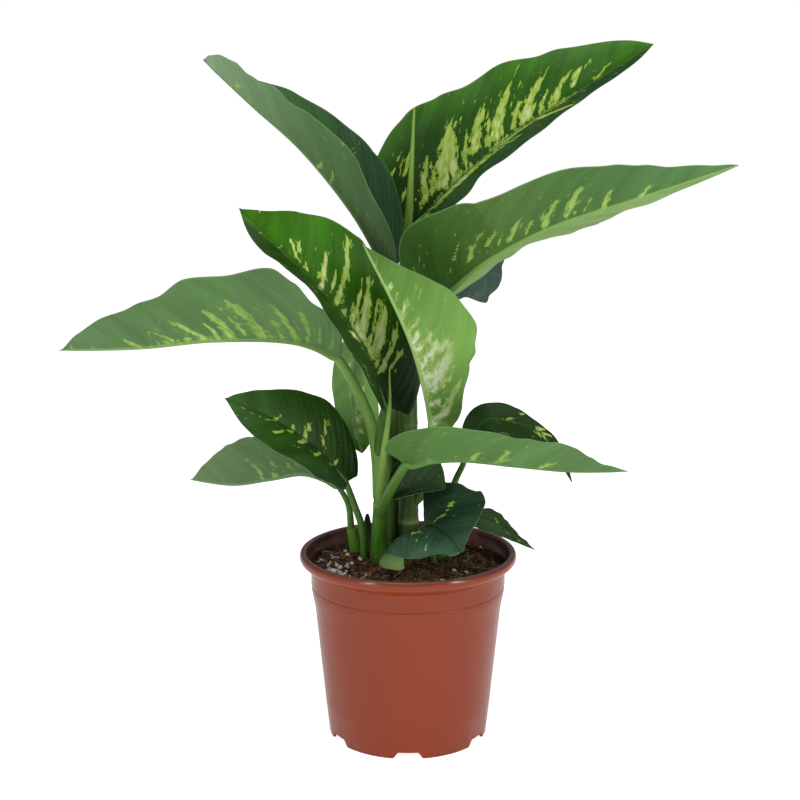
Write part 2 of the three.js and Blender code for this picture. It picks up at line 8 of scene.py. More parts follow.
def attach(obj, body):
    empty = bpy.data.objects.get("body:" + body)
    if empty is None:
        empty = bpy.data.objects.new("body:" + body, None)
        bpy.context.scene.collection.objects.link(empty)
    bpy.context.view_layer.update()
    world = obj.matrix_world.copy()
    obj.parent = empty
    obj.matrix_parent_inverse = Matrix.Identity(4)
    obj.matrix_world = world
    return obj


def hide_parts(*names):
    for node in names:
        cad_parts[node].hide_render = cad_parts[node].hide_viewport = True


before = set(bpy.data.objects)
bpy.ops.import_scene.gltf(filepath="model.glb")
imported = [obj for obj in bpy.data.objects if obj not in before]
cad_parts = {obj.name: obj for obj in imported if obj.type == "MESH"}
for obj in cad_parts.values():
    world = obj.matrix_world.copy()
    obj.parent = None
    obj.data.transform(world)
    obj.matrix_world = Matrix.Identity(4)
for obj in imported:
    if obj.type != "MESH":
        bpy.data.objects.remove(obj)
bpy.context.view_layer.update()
print("frame loaded:", len(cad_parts), "nodes")

mm = 0.001
body = "root"  # nothing moves, so every piece rides on the part's one body


def hexColour(text):
    # an sRGB hex colour as the linear RGBA that the shaders take
    parts = [int(text[i:i + 2], 16) / 255 for i in (1, 3, 5)]
    return tuple(c / 12.92 if c <= 0.04045 else ((c + 0.055) / 1.055) ** 2.4 for c in parts) + (1.0,)


def addNode(tree, kind, links=None, **settings):
    # one node with its settings; links maps an input to a value, a socket, or a node's first live output
    node = tree.nodes.new(kind)
    for name, value in settings.items():
        setattr(node, name, value)
    for socket, value in (links or {}).items():
        if isinstance(value, bpy.types.Node):
            value = next(output for output in value.outputs if output.enabled)
        if isinstance(value, bpy.types.NodeSocket):
            tree.links.new(value, node.inputs[socket])
        else:
            node.inputs[socket].default_value = value
    return node


def newMaterial(name):
    material = bpy.data.materials.new(name)
    material.use_nodes = True
    tree = material.node_tree
    tree.nodes.clear()
    shader = addNode(tree, "ShaderNodeBsdfPrincipled")
    addNode(tree, "ShaderNodeOutputMaterial", {"Surface": shader})
    return material, tree, shader


def newTree(name, inputs):
    # a geometry tree whose sizes and materials are named inputs
    tree = bpy.data.node_groups.new(name, "GeometryNodeTree")
    tree.interface.new_socket("Geometry", in_out="OUTPUT", socket_type="NodeSocketGeometry")
    tree.interface.new_socket("Geometry", in_out="INPUT", socket_type="NodeSocketGeometry")
    for label, kind in inputs.items():
        tree.interface.new_socket(label, in_out="INPUT", socket_type=kind)
    return tree, addNode(tree, "NodeGroupInput").outputs


def plainMesh(obj, tree, values):
    # sets the tree's named inputs, then keeps what it makes of the object as a plain mesh
    modifier = obj.modifiers.new(tree.name, "NODES")
    modifier.node_group = tree
    for item in tree.interface.items_tree:
        if item.in_out == "INPUT" and item.name in values:
            modifier[item.identifier] = values[item.name]
    graph = bpy.context.evaluated_depsgraph_get()
    mesh = bpy.data.meshes.new_from_object(obj.evaluated_get(graph))
    obj.modifiers.clear()
    return mesh


def smoothMesh(mesh, sharpAngle=None):
    # smooth shading, but for edges that turn by more than the angle
    mesh.polygons.foreach_set("use_smooth", [True] * len(mesh.polygons))
    if sharpAngle is not None:
        mesh.set_sharp_from_angle(angle=math.radians(sharpAngle))


def addObject(name, data):
    obj = bpy.data.objects.new(name, data)
    bpy.context.scene.collection.objects.link(obj)
    return obj


def newObject(name, vertices, faces, materials, sharpAngle=None, edges=()):
    mesh = bpy.data.meshes.new(name)
    mesh.from_pydata([tuple(p) for p in vertices], list(edges), [tuple(f) for f in faces])
    for material in materials:
        mesh.materials.append(material)
    smoothMesh(mesh, sharpAngle)
    mesh.update()
    return addObject(name, mesh)


def addAttribute(mesh, name, values):
    # one number, or one colour, for every vertex
    values = np.asarray(values, np.float32)
    kind = "FLOAT" if values.ndim == 1 else "FLOAT_COLOR"
    attribute = mesh.attributes.new(name, kind, "POINT")
    attribute.data.foreach_set("value" if values.ndim == 1 else "color", values.ravel())


def dress(obj, node):
    # the finished piece rides on the body and stands for its CAD node
    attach(obj, body)
    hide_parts(node)


def ringFaces(rings, sides, first=0):
    # the faces between rings of points that follow one another
    faces = []
    for i in range(rings - 1):
        for j in range(sides):
            a, b = first + i * sides + j, first + i * sides + (j + 1) % sides
            faces.append((a, b, b + sides, a + sides))
    return faces


def unit(a):
    return a / np.maximum(np.linalg.norm(a, axis=-1, keepdims=True), 1e-9)


def smoothCurve(points, t):
    # Catmull-Rom through the points, as three.js draws it, at every t from 0 to 1
    p = np.asarray(points, float)
    last = len(p) - 1
    place = np.clip(np.atleast_1d(t), 0, 1) * last
    i = np.minimum(place.astype(int), last - 1)
    w = (place - i)[:, None]
    before = np.where((i == 0)[:, None], 2 * p[0] - p[1], p[np.maximum(i - 1, 0)])
    after = np.where((i == last - 1)[:, None], 2 * p[last] - p[last - 1], p[np.minimum(i + 2, last)])
    here, there = p[i], p[i + 1]
    v0, v1 = (there - before) / 2, (after - here) / 2
    cubic = 2 * here - 2 * there + v0 + v1
    square = 3 * there - 3 * here - 2 * v0 - v1
    return cubic * w**3 + square * w**2 + v0 * w + here


def evenCurve(points, count):
    # the same curve, at places an equal length apart, and its length
    dense = smoothCurve(points, np.linspace(0, 1, 400))
    lengths = np.concatenate([[0], np.cumsum(np.linalg.norm(np.diff(dense, axis=0), axis=1))])
    places = np.linspace(0, lengths[-1], count)
    return np.stack([np.interp(places, lengths, dense[:, k]) for k in range(3)], 1), lengths[-1]


def mixed(a, b, share):
    return a * (1 - share) + b * share


def smoothStep(low, high, x):
    t = np.clip((x - low) / (high - low), 0, 1)
    return t * t * (3 - 2 * t)


def blendedColours(colours, u):
    # hex colours, at given places or spaced evenly from 0 to 1, blended at every u
    places = np.linspace(0, 1, len(colours))
    if isinstance(colours[0], tuple):
        places, colours = zip(*colours)
    stops = np.array([hexColour(colour) for colour in colours])
    return np.stack([np.interp(u, places, stops[:, k]) for k in range(4)], -1)


camera = {"place": (-0.007, -1.313, 0.565), "pitchDown": 11.43, "lens": 70.0, "sensor": 36.0}


def makeCamera():
    data = bpy.data.cameras.new("photoCamera")
    data.lens = camera["lens"]
    data.sensor_width = camera["sensor"]
    obj = addObject("photoCamera", data)
    obj.location = camera["place"]
    obj.rotation_euler = (math.radians(90 - camera["pitchDown"]), 0, 0)
    bpy.context.scene.camera = obj


# azimuth from the camera's side of the pot (+ is right), height and distance in metres
softboxes = {
    "leftBox": {"azimuth": -41, "height": 0.75, "distance": 1.7, "size": (0.26, 1.3), "power": 8.8},
    "rightBox": {"azimuth": 52, "height": 0.75, "distance": 1.7, "size": (0.26, 1.3), "power": 11.5},
    "topBox": {"azimuth": 10, "height": 2.1, "distance": 0.35, "size": (1.6, 1.6), "power": 17},
    "backBox": {"azimuth": 165, "height": 1.3, "distance": 1.7, "size": (1.2, 1.0), "power": 1.2},
}
studio = {
    "aim": (0, 0, 0.3),  # the spot that every softbox faces
    "ambient": 0.2,  # what the white surroundings give as light; the camera sees them at full strength
    "paperColour": "#F4F4F4", "paperRoughness": 0.9, "paperSpecular": 0.1,
    "paperBounce": 0.35, "paperGlow": 0.85,  # the paper's own light, on the plant and to the camera
    "paperReach": 6.0,  # metres from the pot to the paper's edge
}


def makeLights():
    for name, box in softboxes.items():
        light = bpy.data.lights.new(name, "AREA")
        light.shape = "RECTANGLE"
        light.size, light.size_y = box["size"]
        light.energy = box["power"]
        obj = addObject(name, light)
        turn = math.radians(box["azimuth"])
        across, ahead = math.sin(turn) * box["distance"], -math.cos(turn) * box["distance"]
        place = Vector((across, ahead, box["height"]))
        obj.location = place
        obj.rotation_euler = (place - Vector(studio["aim"])).to_track_quat("Z", "Y").to_euler()


def makeSurroundings():
    world = bpy.data.worlds.new("studioWorld")
    world.use_nodes = True
    tree = world.node_tree
    tree.nodes.clear()
    rays = addNode(tree, "ShaderNodeLightPath").outputs["Is Camera Ray"]
    strength = addNode(tree, "ShaderNodeMapRange", {
        "Value": rays, "To Min": studio["ambient"], "To Max": 1.0})
    background = addNode(tree, "ShaderNodeBackground", {"Color": (1, 1, 1, 1), "Strength": strength})
    addNode(tree, "ShaderNodeOutputWorld", {"Surface": background})
    bpy.context.scene.world = world
    bpy.context.scene.view_settings.view_transform = "Standard"
    bpy.context.scene.view_settings.look = "None"


def makeFloor():
    # white paper, lit evenly for the camera so that it stays as pale as the photo's background
    material, tree, shader = newMaterial("paperBackdrop")
    rays = addNode(tree, "ShaderNodeLightPath").outputs["Is Camera Ray"]
    glow = addNode(tree, "ShaderNodeMapRange", {
        "Value": rays, "To Min": studio["paperBounce"], "To Max": studio["paperGlow"]})
    tree.links.new(glow.outputs["Result"], shader.inputs["Emission Strength"])
    shader.inputs["Base Color"].default_value = hexColour(studio["paperColour"])
    shader.inputs["Roughness"].default_value = studio["paperRoughness"]
    shader.inputs["Specular IOR Level"].default_value = studio["paperSpecular"]
    shader.inputs["Emission Color"].default_value = (1, 1, 1, 1)
    reach = studio["paperReach"]
    corners = [(-reach, -reach, 0), (reach, -reach, 0), (reach, reach, 0), (-reach, reach, 0)]
    floor = newObject("floor", corners, [(0, 1, 2, 3)], [material])


makeCamera()
makeLights()
makeSurroundings()
makeFloor()
print("camera, light and floor placed")

leafLook = {
    "veinSpacing": 7.5,  # mm between the side veins, measured along the midrib
    "fineVeinSpacing": 1.9,  # mm between the thin veins that lie between them
    "veinHalfWidth": 1.0, "fineVeinHalfWidth": 0.6, "fineVeinShare": 0.35,
    "veinWander": 5.0,  # mm, how far a vein strays from its even place
    # noises: the grain's width across and length along the veins in mm, its detail, its place in the noise
    "strayNoise": (32.0, 26.0, 1.0, 2.0),
    "cloudNoise": (15.0, 80.0, 1.5, 3.0),
    "fleckNoise": (0.9, 3.2, 3.0, 9.0),
    "tearNoise": (4.4, 7.0, 3.0, 0.0),
    "fineTearNoise": (1.3, 3.5, 2.0, 5.0),
    "leafStep": 7.31,  # how far apart two leaves lie in a noise
    "fleckContrast": 0.03,
    "tearing": 2.5, "fineTearing": 0.3,  # how much the noises break up a streak
    "heartFrom": 0.15, "heartFull": 0.7,  # how far inside a streak's rim its pale heart begins and is full
    "heartFades": (8.0, 30.0), "outerHeart": 0.4,  # mm off the midrib, and what is left of the heart there
    "marginFrom": 0.972, "marginFull": 0.995,  # the light line along the edge, as a share of the width
    "glossGrain": 0.06, "reliefGrain": 0.04, "reliefDepth": 0.25,  # the depth in mm
    "ior": 1.45,
}


def veinNoise(tree, grainWidth, grainLength, detail, shift):
    # noise drawn out along the side veins, different on every leaf
    vein, away, leaf = [addNode(tree, "ShaderNodeAttribute", attribute_name=name).outputs["Fac"]
                        for name in ("veinPlace", "acrossBlade", "leafNumber")]
    x = addNode(tree, "ShaderNodeMath", {0: vein, 1: 1 / grainWidth}, operation="MULTIPLY")
    y = addNode(tree, "ShaderNodeMath", {0: away, 1: 1 / grainLength}, operation="MULTIPLY")
    z = addNode(tree, "ShaderNodeMath", {
        0: leaf, 1: leafLook["leafStep"], 2: shift}, operation="MULTIPLY_ADD")
    place = addNode(tree, "ShaderNodeCombineXYZ", {"X": x, "Y": y, "Z": z})
    return addNode(tree, "ShaderNodeTexNoise", {
        "Vector": place, "Scale": 1.0, "Detail": detail, "Roughness": 0.6})


def veinLines(tree, spacing, halfWidth):
    # 1 on a side vein, 0 between two of them
    vein = addNode(tree, "ShaderNodeAttribute", attribute_name="veinPlace").outputs["Fac"]
    stray = veinNoise(tree, *leafLook["strayNoise"])
    place = addNode(tree, "ShaderNodeMath", {
        0: stray, 1: leafLook["veinWander"], 2: vein}, operation="MULTIPLY_ADD")
    away = addNode(tree, "ShaderNodeMath", {0: place, 1: spacing / 2}, operation="PINGPONG")
    return addNode(tree, "ShaderNodeMapRange", {
        "Value": away, "From Min": halfWidth, "From Max": 0.0}, interpolation_type="SMOOTHSTEP")


def addGreens(tree, look, flecks, veins):
    # the green itself: clouds a few centimetres wide, fine flecks, and lighter side veins
    green = addNode(tree, "ShaderNodeAttribute", attribute_name="skinColour").outputs["Color"]
    cloud = addNode(tree, "ShaderNodeMapRange", {
        "Value": veinNoise(tree, *leafLook["cloudNoise"]), "From Min": 0.3, "From Max": 0.7,
        "To Min": 1 - look["cloud"], "To Max": 1 + look["cloud"]})
    contrast = leafLook["fleckContrast"]
    fleck = addNode(tree, "ShaderNodeMapRange", {
        "Value": flecks, "From Min": 0.25, "From Max": 0.75,
        "To Min": 1 - contrast, "To Max": 1 + contrast})
    shade = addNode(tree, "ShaderNodeMath", {0: cloud, 1: fleck}, operation="MULTIPLY")
    skin = addNode(tree, "ShaderNodeMix", {
        0: 1.0, 6: green, 7: shade}, data_type="RGBA", blend_type="MULTIPLY")
    veinShare = addNode(tree, "ShaderNodeMath", {0: veins, 1: look["veinShare"]}, operation="MULTIPLY")
    return addNode(tree, "ShaderNodeMix", {
        0: veinShare, 6: skin, 7: look["vein"]}, data_type="RGBA", blend_type="MULTIPLY")


def addCream(tree, look, skin, awayFromRib):
    # the cream: the streak field, torn along the veins, yellow-green at its rim and pale at its heart
    field, white = [addNode(tree, "ShaderNodeAttribute", attribute_name=name).outputs["Fac"]
                    for name in ("creamField", "creamWhiteness")]
    broad = veinNoise(tree, *leafLook["tearNoise"])
    fine = veinNoise(tree, *leafLook["fineTearNoise"])
    torn = addNode(tree, "ShaderNodeMath", {
        0: broad, 1: leafLook["tearing"], 2: field}, operation="MULTIPLY_ADD")
    amount = addNode(tree, "ShaderNodeMath", {
        0: fine, 1: leafLook["fineTearing"], 2: torn}, operation="MULTIPLY_ADD")
    middle = 0.5 + (leafLook["tearing"] + leafLook["fineTearing"]) / 2
    cream = addNode(tree, "ShaderNodeMapRange", {
        "Value": amount, "From Min": middle - look["soft"], "From Max": middle + look["soft"],
        "To Max": look["creamShare"]}, interpolation_type="SMOOTHSTEP")
    heart = addNode(tree, "ShaderNodeMapRange", {
        "Value": amount, "From Min": middle + leafLook["heartFrom"],
        "From Max": middle + leafLook["heartFull"]}, interpolation_type="SMOOTHSTEP")
    nearRib = addNode(tree, "ShaderNodeMapRange", {
        "Value": awayFromRib, "From Min": leafLook["heartFades"][0], "From Max": leafLook["heartFades"][1],
        "To Min": 1.0, "To Max": leafLook["outerHeart"]})
    heart = addNode(tree, "ShaderNodeMath", {0: heart, 1: nearRib}, operation="MULTIPLY")
    inner = addNode(tree, "ShaderNodeMix", {
        0: white, 6: look["heart"], 7: look["whiteHeart"]}, data_type="RGBA")
    half = addNode(tree, "ShaderNodeMath", {0: white, 1: 0.5}, operation="MULTIPLY")
    outer = addNode(tree, "ShaderNodeMix", {0: half, 6: look["streak"], 7: look["heart"]}, data_type="RGBA")
    pale = addNode(tree, "ShaderNodeMix", {0: heart, 6: outer, 7: inner}, data_type="RGBA")
    return addNode(tree, "ShaderNodeMix", {0: cream, 6: skin, 7: pale}, data_type="RGBA")


def addRibAndMargin(tree, look, skin, awayFromRib):
    # the midrib and the thin light line that edges the blade
    rib, edge = [addNode(tree, "ShaderNodeAttribute", attribute_name=name).outputs["Fac"]
                 for name in ("ribWidth", "edgeShare")]
    inside = addNode(tree, "ShaderNodeMath", {0: awayFromRib, 1: rib}, operation="DIVIDE")
    ribShare = addNode(tree, "ShaderNodeMapRange", {
        "Value": inside, "From Min": 1.0, "From Max": 0.5, "To Max": look["ribShare"]},
        interpolation_type="SMOOTHSTEP")
    ribColour = addNode(tree, "ShaderNodeAttribute", attribute_name="ribColour").outputs["Color"]
    skin = addNode(tree, "ShaderNodeMix", {0: ribShare, 6: skin, 7: ribColour}, data_type="RGBA")
    margin = addNode(tree, "ShaderNodeMapRange", {
        "Value": edge, "From Min": leafLook["marginFrom"], "From Max": leafLook["marginFull"],
        "To Max": look["marginShare"]}, interpolation_type="SMOOTHSTEP")
    return addNode(tree, "ShaderNodeMix", {0: margin, 6: skin, 7: look["margin"]}, data_type="RGBA")


def leafMaterial(name, look):
    # dieffenbachia blade: a thin waxed leaf; the upper face is smooth and half glossy, the lower one matte
    material, tree, shader = newMaterial(name)
    flecks = veinNoise(tree, *leafLook["fleckNoise"])
    veins = veinLines(tree, leafLook["veinSpacing"], leafLook["veinHalfWidth"])
    fineVeins = veinLines(tree, leafLook["fineVeinSpacing"], leafLook["fineVeinHalfWidth"])
    thin = addNode(tree, "ShaderNodeMath", {
        0: fineVeins, 1: leafLook["fineVeinShare"]}, operation="MULTIPLY")
    veins = addNode(tree, "ShaderNodeMath", {0: veins, 1: thin}, operation="MAXIMUM")
    across = addNode(tree, "ShaderNodeAttribute", attribute_name="acrossBlade").outputs["Fac"]
    awayFromRib = addNode(tree, "ShaderNodeMath", {0: across}, operation="ABSOLUTE")

    skin = addGreens(tree, look, flecks, veins)
    skin = addCream(tree, look, skin, awayFromRib)
    skin = addRibAndMargin(tree, look, skin, awayFromRib)
    skin = addNode(tree, "ShaderNodeHueSaturation", {
        "Saturation": look["saturation"], "Value": look["value"], "Color": skin.outputs[2]})
    tree.links.new(skin.outputs["Color"], shader.inputs["Base Color"])

    gloss = addNode(tree, "ShaderNodeMath", {
        0: flecks, 1: leafLook["glossGrain"], 2: look["roughness"] - leafLook["glossGrain"] / 2},
        operation="MULTIPLY_ADD")
    tree.links.new(gloss.outputs[0], shader.inputs["Roughness"])
    shader.inputs["IOR"].default_value = leafLook["ior"]
    shader.inputs["Specular IOR Level"].default_value = look["specular"]
    height = addNode(tree, "ShaderNodeMath", {0: veins, 1: look["veinHeight"]}, operation="MULTIPLY")
    height = addNode(tree, "ShaderNodeMath", {
        0: flecks, 1: leafLook["reliefGrain"], 2: height}, operation="MULTIPLY_ADD")
    bump = addNode(tree, "ShaderNodeBump", {
        "Strength": look["relief"], "Distance": leafLook["reliefDepth"] * mm, "Height": height})
    tree.links.new(bump.outputs["Normal"], shader.inputs["Normal"])
    return material


# cloud, the shares and soft say how strong each pattern is and how soft a streak's rim; vein multiplies
# the green on a side vein
upperLook = {
    "cloud": 0.24, "vein": (1.7, 1.5, 1.5, 1), "veinShare": 0.22, "veinHeight": -1.0,
    "streak": hexColour("#A0BC58"), "heart": hexColour("#D6E2A6"), "whiteHeart": hexColour("#EEF4D4"),
    "creamShare": 0.95, "soft": 0.06,
    "ribShare": 0.7, "margin": hexColour("#5F7F4E"), "marginShare": 0.6,
    "roughness": 0.4, "specular": 0.24, "relief": 0.55, "saturation": 1.12, "value": 1.0,
}
underLook = {
    "cloud": 0.13, "vein": (1.35, 1.28, 1.3, 1), "veinShare": 0.28, "veinHeight": 0.8,
    "streak": hexColour("#8FB05C"), "heart": hexColour("#B4CC80"), "whiteHeart": hexColour("#E6F0CE"),
    "creamShare": 0.88, "soft": 0.14,
    "ribShare": 0.8, "margin": hexColour("#8AA678"), "marginShare": 0.4,
    "roughness": 0.6, "specular": 0.2, "relief": 0.25, "saturation": 1.08, "value": 1.04,
}
stalkLook = {
    "fleckLength": 13.0, "fleckWidth": 1.8,  # mm
    "saturation": 1.1, "value": 1.08, "specular": 0.25,
    "relief": 0.4, "reliefDepth": 0.25,  # the depth in mm
}


def stalkMaterial(name, roughness, contrast):
    # petioles, sheaths and canes: smooth waxed skin with darker flecks drawn out along the stalk
    material, tree, shader = newMaterial(name)
    green = addNode(tree, "ShaderNodeAttribute", attribute_name="skinColour").outputs["Color"]
    along, around, seed = [addNode(tree, "ShaderNodeAttribute", attribute_name=attribute).outputs["Fac"]
                           for attribute in ("alongStalk", "roundStalk", "leafNumber")]
    x = addNode(tree, "ShaderNodeMath", {0: along, 1: 1 / stalkLook["fleckLength"]}, operation="MULTIPLY")
    y = addNode(tree, "ShaderNodeMath", {0: around, 1: 1 / stalkLook["fleckWidth"]}, operation="MULTIPLY")
    place = addNode(tree, "ShaderNodeCombineXYZ", {"X": x, "Y": y, "Z": seed})
    flecks = addNode(tree, "ShaderNodeTexNoise", {
        "Vector": place, "Scale": 1.0, "Detail": 4.0, "Roughness": 0.6})
    shade = addNode(tree, "ShaderNodeMapRange", {
        "Value": flecks, "From Min": 0.3, "From Max": 0.7, "To Min": 1 - contrast, "To Max": 1 + contrast})
    skin = addNode(tree, "ShaderNodeMix", {
        0: 1.0, 6: green, 7: shade}, data_type="RGBA", blend_type="MULTIPLY")
    skin = addNode(tree, "ShaderNodeHueSaturation", {
        "Saturation": stalkLook["saturation"], "Value": stalkLook["value"], "Color": skin.outputs[2]})
    tree.links.new(skin.outputs["Color"], shader.inputs["Base Color"])
    shader.inputs["Roughness"].default_value = roughness
    shader.inputs["Specular IOR Level"].default_value = stalkLook["specular"]
    bump = addNode(tree, "ShaderNodeBump", {
        "Strength": stalkLook["relief"], "Distance": stalkLook["reliefDepth"] * mm, "Height": flecks})
    tree.links.new(bump.outputs["Normal"], shader.inputs["Normal"])
    return material


upperSkin = leafMaterial("waxedLeafUpper", upperLook)
underSkin = leafMaterial("matteLeafUnderside", underLook)
petioleSkin = stalkMaterial("waxedPetiole", roughness=0.45, contrast=0.16)
print("leaf materials made")

# what a half blade has where its leaf says nothing else
plainHalf = {
    "peak": 0.36,  # where along the midrib the half is widest, from 0 to 1
    "base": 0.55, "tip": 1.15,  # how blunt its outline is below that, and how drawn out above it
    "start": 0.02,  # how much of the outline's narrow start is left out
    "lobe": 0,  # mm that the edge reaches back beside the petiole
    "sweep": 0.2,  # how far the edge leans to the tip, as a share of the width
    "wave": (0, 0, 0),  # the wavy edge: its height in mm, number of waves and phase
    "curl": 0,  # degrees that the half rolls over from midrib to edge
    "edge": [(0, 0)],  # places along the midrib, and the mm that the margin stands out there
}

# The same midribs, petioles and half blades as the solids, in mm, with what the eye adds: the greens of
# each face and of the petiole from base to tip, and the streaks. "out" says which way a half leaves the
# midrib, from base to tip, and "face" which side of the blade is its upper face. A streak runs from one
# spot to another. Its numbers are the first spot's side vein, named by its place on the midrib, and how
# far off the midrib it lies, the same for the second spot, half the streak's width, all in mm, and its
# strength. Off the midrib, + is on the near half and - on the far one.
# Many of these greens carry painted shade: they grow darker toward a blade's base, where it lies in the shade
# of the leaves above.

shadedUnder = ("#40603A", "#4E6E44", "#58774E")  # the lower face of leaves that hide it

